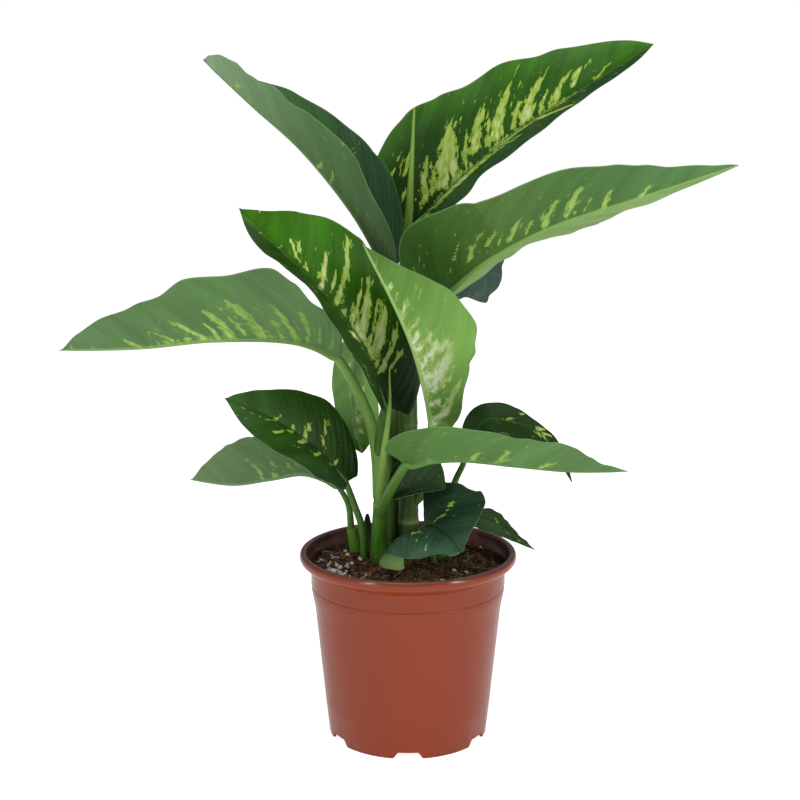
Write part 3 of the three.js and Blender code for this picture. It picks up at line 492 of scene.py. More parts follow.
leaves = {
    "leafTopLeft": {
        "face": 1, "slot": "leaf",
        "rib": [(-17, 15, 406), (-46.8, 14, 458.5), (-89, 22, 510), (-133, 34, 548.5), (-175, 48, 586)],
        "stalk": [(0, 20, 325), (-9, 18, 368)],
        "near": {"width": 58, "out": [(0.35, -0.85, 0.35), (0.4, -0.85, 0.4)], "peak": 0.4, "tip": 0.95,
                 "wave": (3, 3.2, 0.1), "edge": [(0.5, 0), (0.58, -5), (0.64, -4), (0.7, -6), (0.76, -2),
                 (0.83, 7), (0.91, 8.5), (0.97, 6), (1, 1)]},
        "far": {"width": 62, "out": [(0.5, 0.66, 0.5), (0.5, 0.66, 0.5), (0.5, 0.66, 0.5),
                (0.45, 0.78, 0.4)], "tip": 1.1, "edge": [(0.28, 0), (0.34, -3), (0.46, -6),
                (0.56, -7.5), (0.7, -4), (0.82, -4), (1, 0)]},
        "look": {"upper": ("#28442C", "#304E32", "#36582C", "#2F5A22"),
                 # painted shade: the lower face darkens toward the base, where it lies in the shadow of
                 # leafCentre
                 "under": ("#3A5A2A", "#557549", "#88A680"),
                 "ribs": ("#41612F", "#6E8A5A"), "petiole": ("#4C6E36", "#5F7F48")},
        "streaks": [(209, 0, 189, 15, 2.5, 0.7), (143, 0, 140, -5, 1.5, 0.7), (106, 0, 93, 17, 1.6, 0.8),
                    (90, 0, 81, 19, 1.6, 0.8), (74, 0, 70, -10, 1.6, 0.8), (57, 0, 55, -8, 1.6, 0.7),
                    (41, 0, 41, -7, 1.6, 0.7), (45, 54, 41, 58, 1.4, 0.8), (63, -44, 60, -40, 1.4, 0.8),
                    (125, 0, 122, -12, 1.6, 0.7)],
    },
    "leafTopRight": {
        "face": 1, "slot": "leaf",
        "rib": [(-3, 58, 436), (42, 58, 482), (90, 58, 523), (145, 60, 559), (212, 66, 600)],
        "stalk": [(0, 24, 350), (-3, 42, 394)],
        "near": {"width": 72, "out": [(-0.85, 0.3, 0.65), (-0.5, 0.45, 0.75), (-0.5, 0.45, 0.75)],
                 "peak": 0.3, "base": 0.45, "tip": 0.9, "lobe": 20, "wave": (2, 3, 0.3), "edge": [(0, 0),
                 (0.06, 7), (0.16, 8.5), (0.22, 6.5), (0.34, -1.5), (0.43, -6.5), (0.55, -1.5),
                 (0.67, -4.5), (0.76, -0.5), (0.94, 1.5), (1, 0)]},
        "far": {"width": 52, "out": [(0.12, -0.97, -0.16)], "peak": 0.42, "tip": 0.9, "edge": [(0.05, 0),
                (0.12, 8), (0.19, 9), (0.3, -12), (0.4, -6), (0.5, -4), (0.62, -9), (0.74, -8), (0.84, 0),
                (0.93, 3), (1, 0)]},
        "look": {"upper": ("#203A14", "#2A5218", "#3C6A24"), "under": ("#3E5E35", "#4E6E42", "#5E7E50"),
                 "ribs": ("#3C5E34", "#7FA45A"), "petiole": ("#55793A", "#76975A"),
                 # painted sheen: a lighter band along the near edge of the upper face, for the lamps' broad
                 # reflection
                 "paintedSheen": "#4C7A36", "farTint": "#26462A"},
        "streaks": [(70, -13, 72, 4, 47, 0.85), (130, -7, 128, 3, 41.6, 0.8),
                    (180, -4, 180, 2, 38.8, 0.7), (54, 5, 59, 46, 9.6, 1), (69, -9, 66, 37, 6.3, 1),
                    (94, 9, 98, 42, 6.9, 1), (120, 4, 124, 43, 6.9, 1), (151, 2, 161, 31, 6.9, 1),
                    (179, 0, 195, 21, 5.5, 0.95), (203, 6, 205, 19, 4, 0.9), (224, 1, 234, 7, 3.5, 0.9),
                    (30, 7, 36, 39, 4.8, 0.95), (39, 7, 57, 42, 3.5, 0.9), (7, 38, 11, 51, 4, 0.9),
                    (3, 22, 12, 28, 3.5, 0.9), (-8, 45, -4, 48, 3.5, 0.9), (109, -11, 125, -20, 4, 0.9),
                    (161, -8, 172, -31, 4, 0.9), (82, 4, 84, 30, 2.8, 0.85), (108, 5, 112, 28, 2.8, 0.85),
                    (138, 3, 143, 24, 2.8, 0.85), (167, 2, 176, 18, 2.8, 0.85),
                    (120, -4, 121, -6, 33.6, 0.85), (170, -3, 171, -5, 24.6, 0.85),
                    (90, -8, 91, -9.5, 22.4, 0.8)],
    },
    "leafRight": {
        "face": -1, "slot": "leaf",
        "rib": [(27, -15, 387), (67, -30, 424), (118, -45, 453), (185, -60, 477), (261, -70, 503)],
        "stalk": [(3, 20, 296), (10, 13, 326), (15, 0, 354)],
        "near": {"width": 68, "out": [(-0.8, 0.1, 0.75), (-0.35, -0.72, 0.6), (-0.3, -0.65, 0.65),
                 (-0.3, -0.5, 0.75)], "peak": 0.16, "tip": 0.9, "lobe": 14, "sweep": 0.1,
                 "wave": (2, 3, 0), "edge": [(0.22, -1), (0.34, 6), (0.43, 3.5), (0.55, 6), (0.7, 5),
                 (0.77, 0), (0.84, -5), (0.93, -4), (1, 0)]},
        "far": {"width": 52, "out": [(0.2, 0.9, -0.25)], "peak": 0.45, "tip": 0.9, "edge": [(0.1, 0),
                (0.22, -11), (0.34, -24), (0.41, -16), (0.47, 4), (0.54, 3.5), (0.6, -3.5), (0.68, -10),
                (0.76, -4), (0.88, -5), (1, -1)]},
        "look": {"upper": ("#2A4A1E", "#3A6228", "#5E7E46"),
                 "under": ("#3A5E26", "#507038", "#4E7240", "#5C8050"),
                 "ribs": ("#6E9050", "#8DB065"), "petiole": ("#5C7E42", "#769858"), "farTint": "#7FA05E"},
        "streaks": [(23, 13, 38, 33, 1.5, 0.9), (47, 11, 59, 33, 3, 1), (64, 14, 75, 28, 2.6, 1),
                    (91, 7, 98, 30, 3, 1), (126, 4, 127, 30, 3.4, 1), (145, 6, 142, 33, 3, 1),
                    (176, 0, 173, 21, 2.6, 0.95), (203, 1, 206, 10, 2.2, 0.9),
                    (210, -8, 217, -7, 1.9, 0.9), (109, 5, 111, 20, 1.5, 0.85),
                    (160, 4, 160, 18, 1.5, 0.85), (78, 8, 82, 22, 1.5, 0.85),
                    (130, -5, 131, -7, 32.5, 0.9), (165, -9, 166, -11, 27.5, 0.85),
                    (190, -4, 191, -6, 22.5, 0.85)],
    },
    "leafLeft": {
        "face": 1, "slot": "leaf",
        "rib": [(-60, 15, 334), (-101, 0, 350), (-164, -12, 353), (-226, -20, 348), (-294, -20, 346)],
        "stalk": [(-24.5, 3, 212), (-26, 4, 245), (-30.5, 8, 272), (-38.5, 11, 294), (-50, 14, 317)],
        "girth": 1.45,
        "near": {"width": 68, "out": [(-0.4, -0.5, 0.75), (0, -0.3, 0.95), (0, -0.4, 0.85)], "peak": 0.42,
                 "base": 0.8, "sweep": 0, "wave": (3, 3, 0.2), "edge": [(0.05, -4), (0.16, -12),
                 (0.22, -14.5), (0.28, -6), (0.34, 0.5), (0.46, -6.5), (0.58, -1), (0.66, -7),
                 (0.76, -0.3), (0.87, 7), (0.94, 5.5), (1, 0)]},
        "far": {"width": 62, "out": [(0, 0.92, 0.4), (0, 0.97, 0.15), (0, 0.98, 0.13), (0, 0.98, 0.12)],
                "wave": (5, 2, 0.85)},
        "look": {"upper": ("#2E4C22", "#3C6030", "#55743F"),
                 "under": ("#6C9060", "#6C8E5E", "#5A7C4C", "#5C7B4E", "#607D55"),
                 "ribs": ("#4C6E36", "#86A866"), "petiole": ("#6C9048", "#86A862")},
        "streaks": [(130, 1, 130, 6, 31.5, 0.64), (170, -11, 190, 12, 2.8, 0.78),
                    (147, 0, 164, 17, 2.8, 0.83), (125, 0, 141, 24, 3.5, 0.92),
                    (106, 2, 106, 31, 3.5, 0.92), (81, 2, 83, 40, 4.9, 0.92), (54, -8, 55, 36, 3.5, 0.92),
                    (41, 5, 35, 33, 2.8, 0.83), (13, 4, 8, 22, 2.1, 0.69), (66, 3, 66, 22, 1.8, 0.78),
                    (94, 3, 95, 26, 1.8, 0.78), (115, 3, 118, 20, 1.8, 0.78), (28, 4, 25, 24, 1.8, 0.74)],
    },
    "leafCentre": {
        "face": -1, "slot": "leaf",
        "rib": [(-19, -20, 296), (-33, -32, 344), (-64, -38, 391), (-99, -38, 429), (-139, -30, 466)],
        "stalk": [(-25, 3, 211), (-26, 3, 250), (-23, -8, 280)],
        "girth": 1.1,
        "near": {"width": 54, "out": [(0.7, 0.3, 0.65), (0.6, 0.4, 0.7)], "tip": 1.05, "lobe": 17,
                 "sweep": 0.1, "wave": (2, 3, 0), "edge": [(0, 2), (0.12, 4), (0.28, 1), (0.5, 1),
                 (0.58, 6.5), (0.73, 11), (0.82, 8), (0.94, 1.5), (1, 0)]},
        "far": {"width": 44, "out": [(-0.08, -0.97, 0), (-0.12, -0.96, -0.09), (-0.14, -0.95, -0.12),
                (-0.11, -0.96, -0.09), (-0.3, -0.85, -0.3), (-0.6, -0.3, -0.6)], "tip": 1.05,
                "edge": [(0.28, 0), (0.42, -8), (0.52, -13), (0.62, -12), (0.72, -7), (0.8, 0), (1, 0)]},
        # painted shade: farTint darkens the far half, the narrow strip left of the midrib that lies in
        # shadow; the lighter fourth upper stop is a painted sheen band
        "look": {"upper": ("#1E3414", "#284818", "#335A1C", "#407028", "#386418"),
                 "under": ("#4C6C3E", "#5A7A4C", "#607D55"),
                 "ribs": ("#35561F", "#6E8A5A"), "petiole": ("#3C5C2A", "#54763A"),
                 "whiteness": 0.25, "farTint": "#26421A"},
        "streaks": [(68, 1, 68, 7, 35.2, 0.75), (152, 3, 163, 12, 2.2, 0.95), (151, 8, 152, 19, 1.5, 0.9),
                    (139, 2, 143, 7, 1.9, 0.9), (121, -1, 122, 25, 3.1, 1), (116, 7, 126, 15, 1.9, 0.9),
                    (103, 2, 94, 45, 3.1, 1), (72, -12, 70, 39, 5, 1), (83, 5, 78, 28, 2.2, 0.9),
                    (50, 0, 51, 38, 5, 1), (54, 9, 56, 29, 2.2, 0.9), (34, 3, 35, 38, 3.4, 1),
                    (27, 11, 20, 33, 1.5, 0.9), (35, -41, 17, -42, 1.9, 0.85),
                    (35, -28, 8, -33, 1.9, 0.85), (60, 3, 60, 30, 1.9, 0.85),
                    (110, 3, 110, 22, 1.5, 0.85)],
    },
    "leafFront": {
        "face": 1, "slot": "light_leaf",
        "rib": [(21, -22, 269), (15, -40, 309), (4, -55, 352), (-13, -62, 393), (-37, -62, 440)],
        "stalk": [(2, 20, 200), (16, 12, 217), (25, 4, 243)],
        "near": {"width": 54, "out": [(0.85, -0.4, -0.1)], "peak": 0.52, "base": 0.8, "tip": 1.2,
                 "sweep": 0.1, "wave": (2, 3, 0), "edge": [(0, 0), (0.12, -5.5), (0.3, -9), (0.4, -5.5),
                 (0.46, 3), (0.57, 14), (0.67, 11), (0.85, 0)]},
        "far": {"width": 45, "out": [(0.75, 0.6, 0)], "peak": 0.52, "base": 0.8, "tip": 1.2,
                "edge": [(0, 0), (0.15, -10), (0.4, -8), (0.55, 0)]},
        # the pale greens are partly the young leaf's own lighter colour and partly painted light, for light
        # shining through the thin blade
        "look": {"upper": ("#557A40", "#6F9752", "#628A45"), "under": ("#5C8442", "#82AC5E", "#527A38"),
                 "ribs": ("#93B56E", "#A3C27E"), "petiole": ("#55783A", "#76985A"), "whiteness": 1.0},
        "streaks": [(70, 1, 70, 14, 39, 0.77), (98, 0, 104, 14, 4.6, 0.99), (61, 0, 63, 40, 9.2, 1.1),
                    (81, 7, 81, 28, 5.7, 1.1), (17, 0, 39, 38, 5.7, 1.04), (40, 2, 36, 15, 4.6, 0.99),
                    (22, 15, 32, 28, 4.6, 0.99), (78, 22, 68, 38, 4.6, 1.04), (153, 0, 149, 9, 3.4, 0.66),
                    (126, 0, 128, 16, 4.6, 0.72), (50, 5, 50, 32, 3.4, 0.99), (92, 4, 92, 24, 3.4, 0.88),
                    (110, 2, 112, 18, 3.4, 0.77), (60, -2, 60, -24, 6.9, 0.88),
                    (90, -2, 92, -20, 5.7, 0.77)],
    },
    "leafLowDark": {
        "face": -1, "slot": "leaf",
        "rib": [(-53, 5, 225), (-74, -8, 255), (-100, -18, 278), (-126, -24, 294), (-155, -25, 306)],
        "stalk": [(-39, 8, 118), (-39, 8, 151), (-40, 8, 181), (-47, 8, 204)],
        "girth": 1.15,
        "near": {"width": 38, "out": [(0.3, 0.45, 0.8), (0.3, 0.5, 0.7)], "peak": 0.33, "lobe": 6,
                 "sweep": 0.1, "edge": [(0.2, 0), (0.36, 2.5), (0.5, 0.5), (0.7, -0.5), (0.85, 1.5),
                 (0.94, 2), (1, 0)]},
        "far": {"width": 40, "out": [(-0.2, -0.95, -0.15), (-0.2, -0.95, -0.15), (-0.26, -0.79, -0.48),
                (-0.35, -0.36, -0.8)], "peak": 0.33, "edge": [(0, 0), (0.1, -5.5), (0.17, -3), (0.24, 2),
                (0.4, 0)]},
        "look": {"upper": ("#2C4822", "#304F20", "#38582C"), "under": shadedUnder,
                 "ribs": ("#2C4620", "#5E7E4E"), "petiole": ("#4C7032", "#5A7E40"), "whiteness": 0.05},
        "streaks": [(101, 1, 91, 6, 1.8, 0.85), (92, -5, 78, 7, 1.8, 0.9), (73, -15, 71, -6, 1.8, 0.9),
                    (67, -5, 66, 5, 2.2, 0.9), (52, -12, 53, 10, 2.5, 0.9), (55, 0, 45, 17, 2.2, 0.9),
                    (35, 3, 27, 27, 1.4, 0.81), (34, -14, 36, -1, 1.8, 0.85),
                    (118, -2, 102, -5, 1.4, 0.77), (22, -4, 14, 9, 1.4, 0.77)],
    },
    "leafLowPale": {
        "face": 1, "slot": "leaf",
        "rib": [(-60, 26, 215.5), (-91, 30, 226), (-122, 32, 221), (-156, 32, 216), (-194, 34, 220)],
        "stalk": [(-50, 26, 172), (-52.5, 27, 198)],
        "near": {"width": 50, "out": [(0.1, -0.35, 0.9)], "peak": 0.45, "edge": [(0.3, 0), (0.46, -1.5),
                 (0.58, 1), (0.7, 4.5), (0.82, 7.5), (0.9, 6), (1, 0)]},
        "far": {"width": 45, "out": [(0, 0.8, 0.5)], "peak": 0.45},
        "look": {"upper": ("#2E4C22", "#3C6030", "#466A38"), "under": ("#557048", "#5F7954", "#68835C"),
                 "ribs": ("#4C6E36", "#7A9668"), "petiole": ("#507438", "#64864A")},
        "streaks": [(82, -17, 63, 28, 3, 0.55), (72, -9, 45, 26, 3, 0.55), (51, -9, 39, 15, 3, 0.55),
                    (40, 0, 30, -10, 2.5, 0.51), (82, 0, 75, 3, 2.5, 0.51)],
    },
    "leafLowRight": {
        "face": -1, "slot": "leaf",
        "rib": [(-3, -60, 257), (40, -85, 267), (85, -100, 266), (128, -110, 264), (174, -115, 265)],
        "stalk": [(-24, -2, 198), (-16, -25, 224)],
        "girth": 1.15,
        "near": {"width": 48, "out": [(0, -0.65, 0.72)], "peak": 0.27, "base": 0.42, "tip": 1.05,
                 "lobe": 11, "sweep": 0.1, "edge": [(0, -1), (0.3, -5), (0.5, -4.5), (0.58, -1), (0.7, 7),
                 (0.76, 7), (0.83, 1.5), (0.88, -2.5), (0.94, -0.5), (1, 0)]},
        "far": {"width": 42, "out": [(0, 0.96, 0.22)], "peak": 0.27, "tip": 1.05},
        "look": {"upper": ("#2A4620", "#38582A", "#4A6A38"), "under": ("#54763F", "#5E824C", "#5E8050"),
                 "ribs": ("#46672F", "#628552"), "petiole": ("#4E7034", "#628648")},
        "streaks": [(22, 0, 28, 3, 2, 0.85), (58, -14, 59, 14, 2.8, 0.9), (74, 0, 92, 11, 2.8, 0.9),
                    (115, 0, 124, 11, 2.8, 0.9), (81, -1, 77, 21, 2, 0.7), (148, -3, 161, -7, 2, 0.8)],
    },
    "leafBehindLow": {
        "face": 1, "slot": "leaf",
        "rib": [(51, 24, 252), (68, 32, 275), (96, 40, 272), (125, 44, 256), (147, 42, 216)],
        "stalk": [(28, 12, 166), (34, 20, 198), (42, 23, 222), (49, 22, 238)],
        "near": {"width": 29, "out": [(-0.2, 0.9, 0.3), (0.3, 0.8, 0.25)], "lobe": 9, "sweep": 0.1,
                 "edge": [(0.08, 0), (0.16, 3), (0.28, -3), (0.46, -1), (0.52, -2), (0.62, -8),
                 (0.7, -7.5), (0.82, 2), (0.92, 5), (1, 2)]},
        "far": {"width": 34, "out": [(0.3, -0.75, -0.6), (-0.1, -0.75, -0.6), (-0.1, -0.9, -0.3),
                (-0.1, -0.9, -0.2)]},
        "look": {"upper": ("#1C3C10", "#20400F", "#1C3414"), "under": shadedUnder,
                 "ribs": ("#3A5A2C", "#5E7E4E"), "petiole": ("#3E5E2A", "#4E6E38")},
        "streaks": [(67, 14, 67, 19, 2, 0.9), (60, -2, 66, 5, 2.5, 0.95), (91, -8, 95, 12, 2.5, 0.95),
                    (98, -7, 102, 9, 2.5, 0.95)],
    },
    "leafCurled": {
        "face": 1, "slot": "leaf",
        "rib": [(14, -5, 191), (24, -35, 196), (34, -62, 195), (43, -85, 189)],
        "stalk": [(24, -12, 122), (23, -11, 154), (20, -8, 172)],
        "near": {"width": 50, "out": [(0.03, 0, 1), (0.7, 0.3, 0.65), (0.72, 0.4, 0.5), (0.5, 0.6, 0.5)],
                 "peak": 0.3, "tip": 0.8, "start": 0.22, "lobe": 6, "sweep": 0, "curl": -8,
                 "edge": [(0, -18), (0.12, -11), (0.26, -5), (0.4, 3), (0.52, 3), (0.65, -5), (0.78, -10),
                 (0.9, -7), (1, 0)]},
        "far": {"width": 56, "out": [(-0.8, -0.3, -0.28), (-0.9, -0.2, 0.02), (-0.95, -0.12, 0.25),
                (-0.95, -0.1, 0.12), (-0.95, -0.1, 0), (-0.9, -0.2, -0.1)], "peak": 0.35, "tip": 0.8,
                "start": 0.15, "lobe": -18, "sweep": 0, "curl": -70, "edge": [(0, 1), (0.26, 5), (0.4, 1),
                (0.55, -5), (0.8, -15), (1, 0)]},
        # painted light: the underside is made very pale to make up for the deep shade it lies in near the
        # soil
        "look": {"upper": ("#1F3622", "#304C36", "#4A6A54"), "under": ("#9CBE7C", "#A8CA88", "#A8CA88"),
                 "ribs": ("#33502A", "#6E8A5A"), "petiole": ("#33502A", "#4A6A38")},
        "streaks": [(18, 3, 16, 13, 1.8, 0.63), (18, 9, 11, 21, 1.8, 0.63), (11, 19, 3, 29, 1.8, 0.63),
                    (41, -23, 35, -11, 1.4, 0.44), (40, -17, 35, -7, 1.4, 0.44),
                    (19, -26, 29, -16, 1.4, 0.44), (25, -28, 34, -19, 1.4, 0.44),
                    (6, -26, 10, -10, 1.4, 0.44)],
    },
    "leafHanging": {
        "face": 1, "slot": "leaf",
        "rib": [(-17, -8, 213), (-3, -12, 219), (15, -16, 224), (32, -20, 226)],
        "stalk": [(-24, 0, 196), (-21, -4, 205)],
        "near": {"width": 34, "out": [(0, 0.3, 0.95)], "peak": 0.5, "tip": 0.7},
        "far": {"width": 14, "out": [(0, -0.95, 0.1)], "peak": 0.5, "tip": 0.7},
        "look": {"upper": ("#1E3613", "#213B15", "#29461C"), "under": shadedUnder,
                 "ribs": ("#33502A", "#5E7E4E"), "petiole": ("#3A5A26", "#4C6C34")},
        "streaks": [(20, 4, 22, 16, 1.8, 0.24)],
    },
    "leafOverRim": {
        "face": 1, "slot": "leaf",
        "rib": [(50, 15, 188), (67, 12, 190), (88, 5, 182), (112, 0, 165)],
        "stalk": [(28, 12, 163), (37, 14, 181)],
        "near": {"width": 25, "out": [(0.2, 0.93, 0.12)], "peak": 0.4, "edge": [(0.28, 0), (0.4, -3.5),
                 (0.52, -7.5), (0.64, -9.5), (0.78, -9), (0.9, -3), (1, 0)]},
        "far": {"width": 26, "out": [(-0.1, -0.97, -0.12)], "peak": 0.4},
        "look": {"upper": ("#1E3E0A", "#24440E", "#203C0C"), "under": shadedUnder,
                 "ribs": ("#3E5A2C", "#5E7E4E"), "petiole": ("#38541F", "#48682E")},
        "streaks": [(35, -11, 48, -6, 1.6, 0.54), (15, -17, 29, -16, 1.6, 0.54),
                    (48, -10, 61, -2, 1.6, 0.54), (26, 9, 39, 0, 1.6, 0.48)],
    },
    "leafShade": {
        "face": 1, "slot": "leaf",
        "rib": [(39, 60, 424), (61, 85, 411), (72, 100, 391), (72, 108, 369)],
        "stalk": [(2, 24, 310), (15, 45, 362), (28, 55, 410)],
        "near": {"width": 24, "out": [(0.8, 0.3, 0.4)], "peak": 0.4, "tip": 0.9, "edge": [(0.5, 0),
                 (0.58, -4), (0.76, -3), (0.88, -5.5), (1, 0)]},
        "far": {"width": 36, "out": [(-0.8, -0.3, -0.4)], "peak": 0.4, "tip": 0.9},
        # painted shade: both faces are a dull dark grey-green for a leaf that lies in shadow
        "look": {"upper": ("#34483E", "#394E46", "#42584A"), "under": ("#41554B", "#4A6050", "#50664E"),
                 "ribs": ("#41554B", "#4A6050"), "petiole": ("#33502A", "#41554B")},
        "streaks": [(20, 2, 22, 14, 2, 0.6)],
    },
    "leafBackLeft": {
        "face": -1, "slot": "light_leaf",
        "rib": [(-40, 58, 354), (-50, 60, 314), (-49, 54, 274), (-41, 48, 241)],
        "stalk": [(-12, 33, 272), (-12, 36, 305), (-17, 42, 335), (-26, 49, 356), (-35, 55, 362)],
        "near": {"width": 27, "out": [(0.85, 0.5, 0)], "peak": 0.55, "tip": 0.9},
        "far": {"width": 21, "out": [(-0.85, 0.3, 0)], "peak": 0.5, "tip": 0.9, "edge": [(0.2, 0),
                (0.4, -2), (0.54, -4), (0.7, 0)]},
        # the pale greens are partly the young leaf's own lighter colour and partly painted light, for light
        # shining through the thin blade
        "look": {"upper": ("#4E7038", "#4C7434", "#2E5418"), "under": ("#7EA864", "#82AC66", "#52803A"),
                 "ribs": ("#7A9A60", "#8AAA6C"), "petiole": ("#46672F", "#5F8045"), "whiteness": 1.0},
        "streaks": [(57, 8, 39, 15, 5.1, 1.04), (72, 0, 59, 14, 5.1, 1.04), (83, 0, 71, 12, 5.1, 0.99),
                    (96, -2, 88, 9, 4.2, 0.99), (61, -2, 49, 4, 5.1, 0.99), (37, -5, 30, -1, 4.2, 0.94)],
    },
}

bladeForm = {
    "stationsPerMetre": 640, "fewestStations": 90,  # rows of points along the midrib
    "columns": 34, "columnPower": 1.45,  # columns from the midrib to the edge, closer near the midrib
    "thickness": 0.55, "edgeThickness": 0.35,
    "narrowest": 0.4, "lobeReach": 0.12,  # how far up the midrib the lobe is felt
    "veinLean": 0.55, "veinBend": 0.006,  # a side vein's slope to the tip, and how it grows per mm
    "pillow": 0.16,  # half the height by which the blade swells between two side veins
    "pillowFrom": (2, 12),  # mm off the midrib between which the swelling comes up
    "pillowEnds": (0.85, 0.15),  # it runs out from this share of the width, and this share before the tip
    "grooveDepth": 0.7, "grooveWidth": 2.6,  # over the midrib, on the upper face
    "ridgeHeight": (2.3, 0.5), "ridgeWidth": (3.0, 1.0),  # under it, at the leaf's base and at its tip
    "ridgeEnds": 0.93,  # where the groove and the ridge start to run out
    "ripple": 0.5, "rippleWidth": 50, "rippleCount": 6.3,  # the fine wave of a half blade 50 mm wide
    "ripplePerLeaf": 0.37, "ripplePerHalf": 0.2,  # its shift from leaf to leaf and from half to half
    "curlSteps": 400,
    "ribWidth": (2.2, 3.6), "ribTip": 0.45,  # half the coloured midrib on each face, and its share at the tip
    "dryTip": "#5A5846", "dryFrom": 0.985,
    # the far half's tint comes in between these mm off the midrib; the painted sheen starts at this share of
    # the width, at this strength
    "farTintFrom": (2, 6), "paintedSheenFrom": 0.55, "paintedSheenShare": 0.7,
    "sharpAngle": 50,
}


def widthShare(u, half):
    # the plain outline: 0 at the ends of the midrib and 1 where the half is widest
    t = half["start"] + (1 - half["start"]) * u
    low = np.clip(1 - t / half["peak"], 0, 1)
    x = np.clip((t - half["peak"]) / (1 - half["peak"]), 0, 1)
    below = (1 - low**2) ** half["base"]
    above = (1 - x) ** half["tip"] * (1 + half["tip"] * x)
    return np.where(t < half["peak"], below, above)


def edgeShift(edge, u):
    # how far the margin stands out at each u, stepping smoothly from each listed place to the next, in mm
    shift = np.full(len(u), float(edge[0][1]))
    for (low, before), (high, after) in zip(edge, edge[1:]):
        shift += (after - before) * smoothStep(low, high, u)
    return shift


def blendedDirections(vectors, u):
    vectors = np.asarray(vectors, float)
    if len(vectors) == 1:
        return np.repeat(vectors, len(u), 0)
    place = u * (len(vectors) - 1)
    i = np.minimum(place.astype(int), len(vectors) - 2)
    share = (place - i)[:, None]
    return mixed(vectors[i], vectors[i + 1], share)


def rolledUp(slope, v):
    # how far a curled half has come at every v, when slope is its direction at even steps
    steps = bladeForm["curlSteps"]
    total = np.concatenate([[0], np.cumsum((slope[1:] + slope[:-1]) / (2 * steps))])
    return np.interp(v, np.linspace(0, 1, steps + 1), total)


def halfBlade(half, side, u, origin, tangent, ribLength, number):
    # one half's points from the midrib to the edge, as (stations, columns, 3), and their place on the blade
    form = bladeForm
    half = {**plainHalf, **half}
    v = np.linspace(0, 1, form["columns"] + 1) ** form["columnPower"]
    out = blendedDirections(half["out"], u)
    out = unit(out - np.sum(out * tangent, 1, keepdims=True) * tangent)
    normal = np.cross(tangent, out) * side
    share = widthShare(u, half)
    width = np.maximum(half["width"] * share + edgeShift(half["edge"], u), form["narrowest"])
    angle = np.radians(half["curl"] * np.linspace(0, 1, form["curlSteps"] + 1))
    across, rise = rolledUp(np.cos(angle), v), rolledUp(np.sin(angle), v)

    waveHeight, count, phase = half["wave"]
    wave = waveHeight * np.outer(share * np.sin(2 * np.pi * (count * u + phase)), v**2)
    turn = form["rippleCount"] * u + number * form["ripplePerLeaf"] + side * form["ripplePerHalf"]
    rippleHeight = form["ripple"] * half["width"] / form["rippleWidth"]
    ripple = rippleHeight * np.outer(share * np.sin(2 * np.pi * turn), v**4)
    back = half["lobe"] * np.outer(np.exp(-((u / form["lobeReach"]) ** 2)), v**1.5)
    sweep = half["sweep"] * np.outer(width, v**2)

    away = np.outer(width, v)  # mm from the midrib, over the surface
    vein = (u * ribLength)[:, None] - form["veinLean"] * away - form["veinBend"] * away**2
    raised = -np.cos(2 * np.pi * vein / leafLook["veinSpacing"]) * form["pillow"]
    edgeEnd, tipEnd = form["pillowEnds"]
    raised = raised * smoothStep(*form["pillowFrom"], away) * smoothStep(1, edgeEnd, v)
    raised = raised * smoothStep(0, tipEnd, 1 - u)[:, None]
    points = (origin[:, None, :]
              + out[:, None, :] * np.outer(width, across)[:, :, None]
              + normal[:, None, :] * (np.outer(width, rise) + wave + ripple)[:, :, None]
              + tangent[:, None, :] * (sweep - back)[:, :, None])
    return points, away * side, vein, np.repeat(v[None], len(u), 0), raised


# how a streak spreads: its width against the listed one, how much narrower its outer end is, how softly its
# two ends come and go, and the halo of single flecks round it
streakForm = {"widen": 1.45, "narrowing": 0.4, "start": (-0.12, 0.08), "end": (1.15, 0.75),
              "halo": 0.3, "haloReach": 2.4}


def creamAmount(streaks, vein, away):
    # how near each spot is to turning cream, before the noise of the skin breaks it up
    form = streakForm
    field = np.zeros(vein.shape)
    for fromVein, fromAway, toVein, toAway, halfWidth, strength in streaks:
        t = (away - fromAway) / (toAway - fromAway)
        middle = mixed(fromVein, toVein, np.clip(t, 0, 1))
        ends = smoothStep(*form["start"], t) * smoothStep(*form["end"], t)
        narrowed = halfWidth * form["widen"] * (1 - form["narrowing"] * np.clip(t, 0, 1))
        off = np.abs(vein - middle) / narrowed
        halo = form["halo"] * np.exp(-((off / form["haloReach"]) ** 2))
        field = np.maximum(field, strength * ends * np.maximum(np.exp(-(off**2)), halo))
    return field


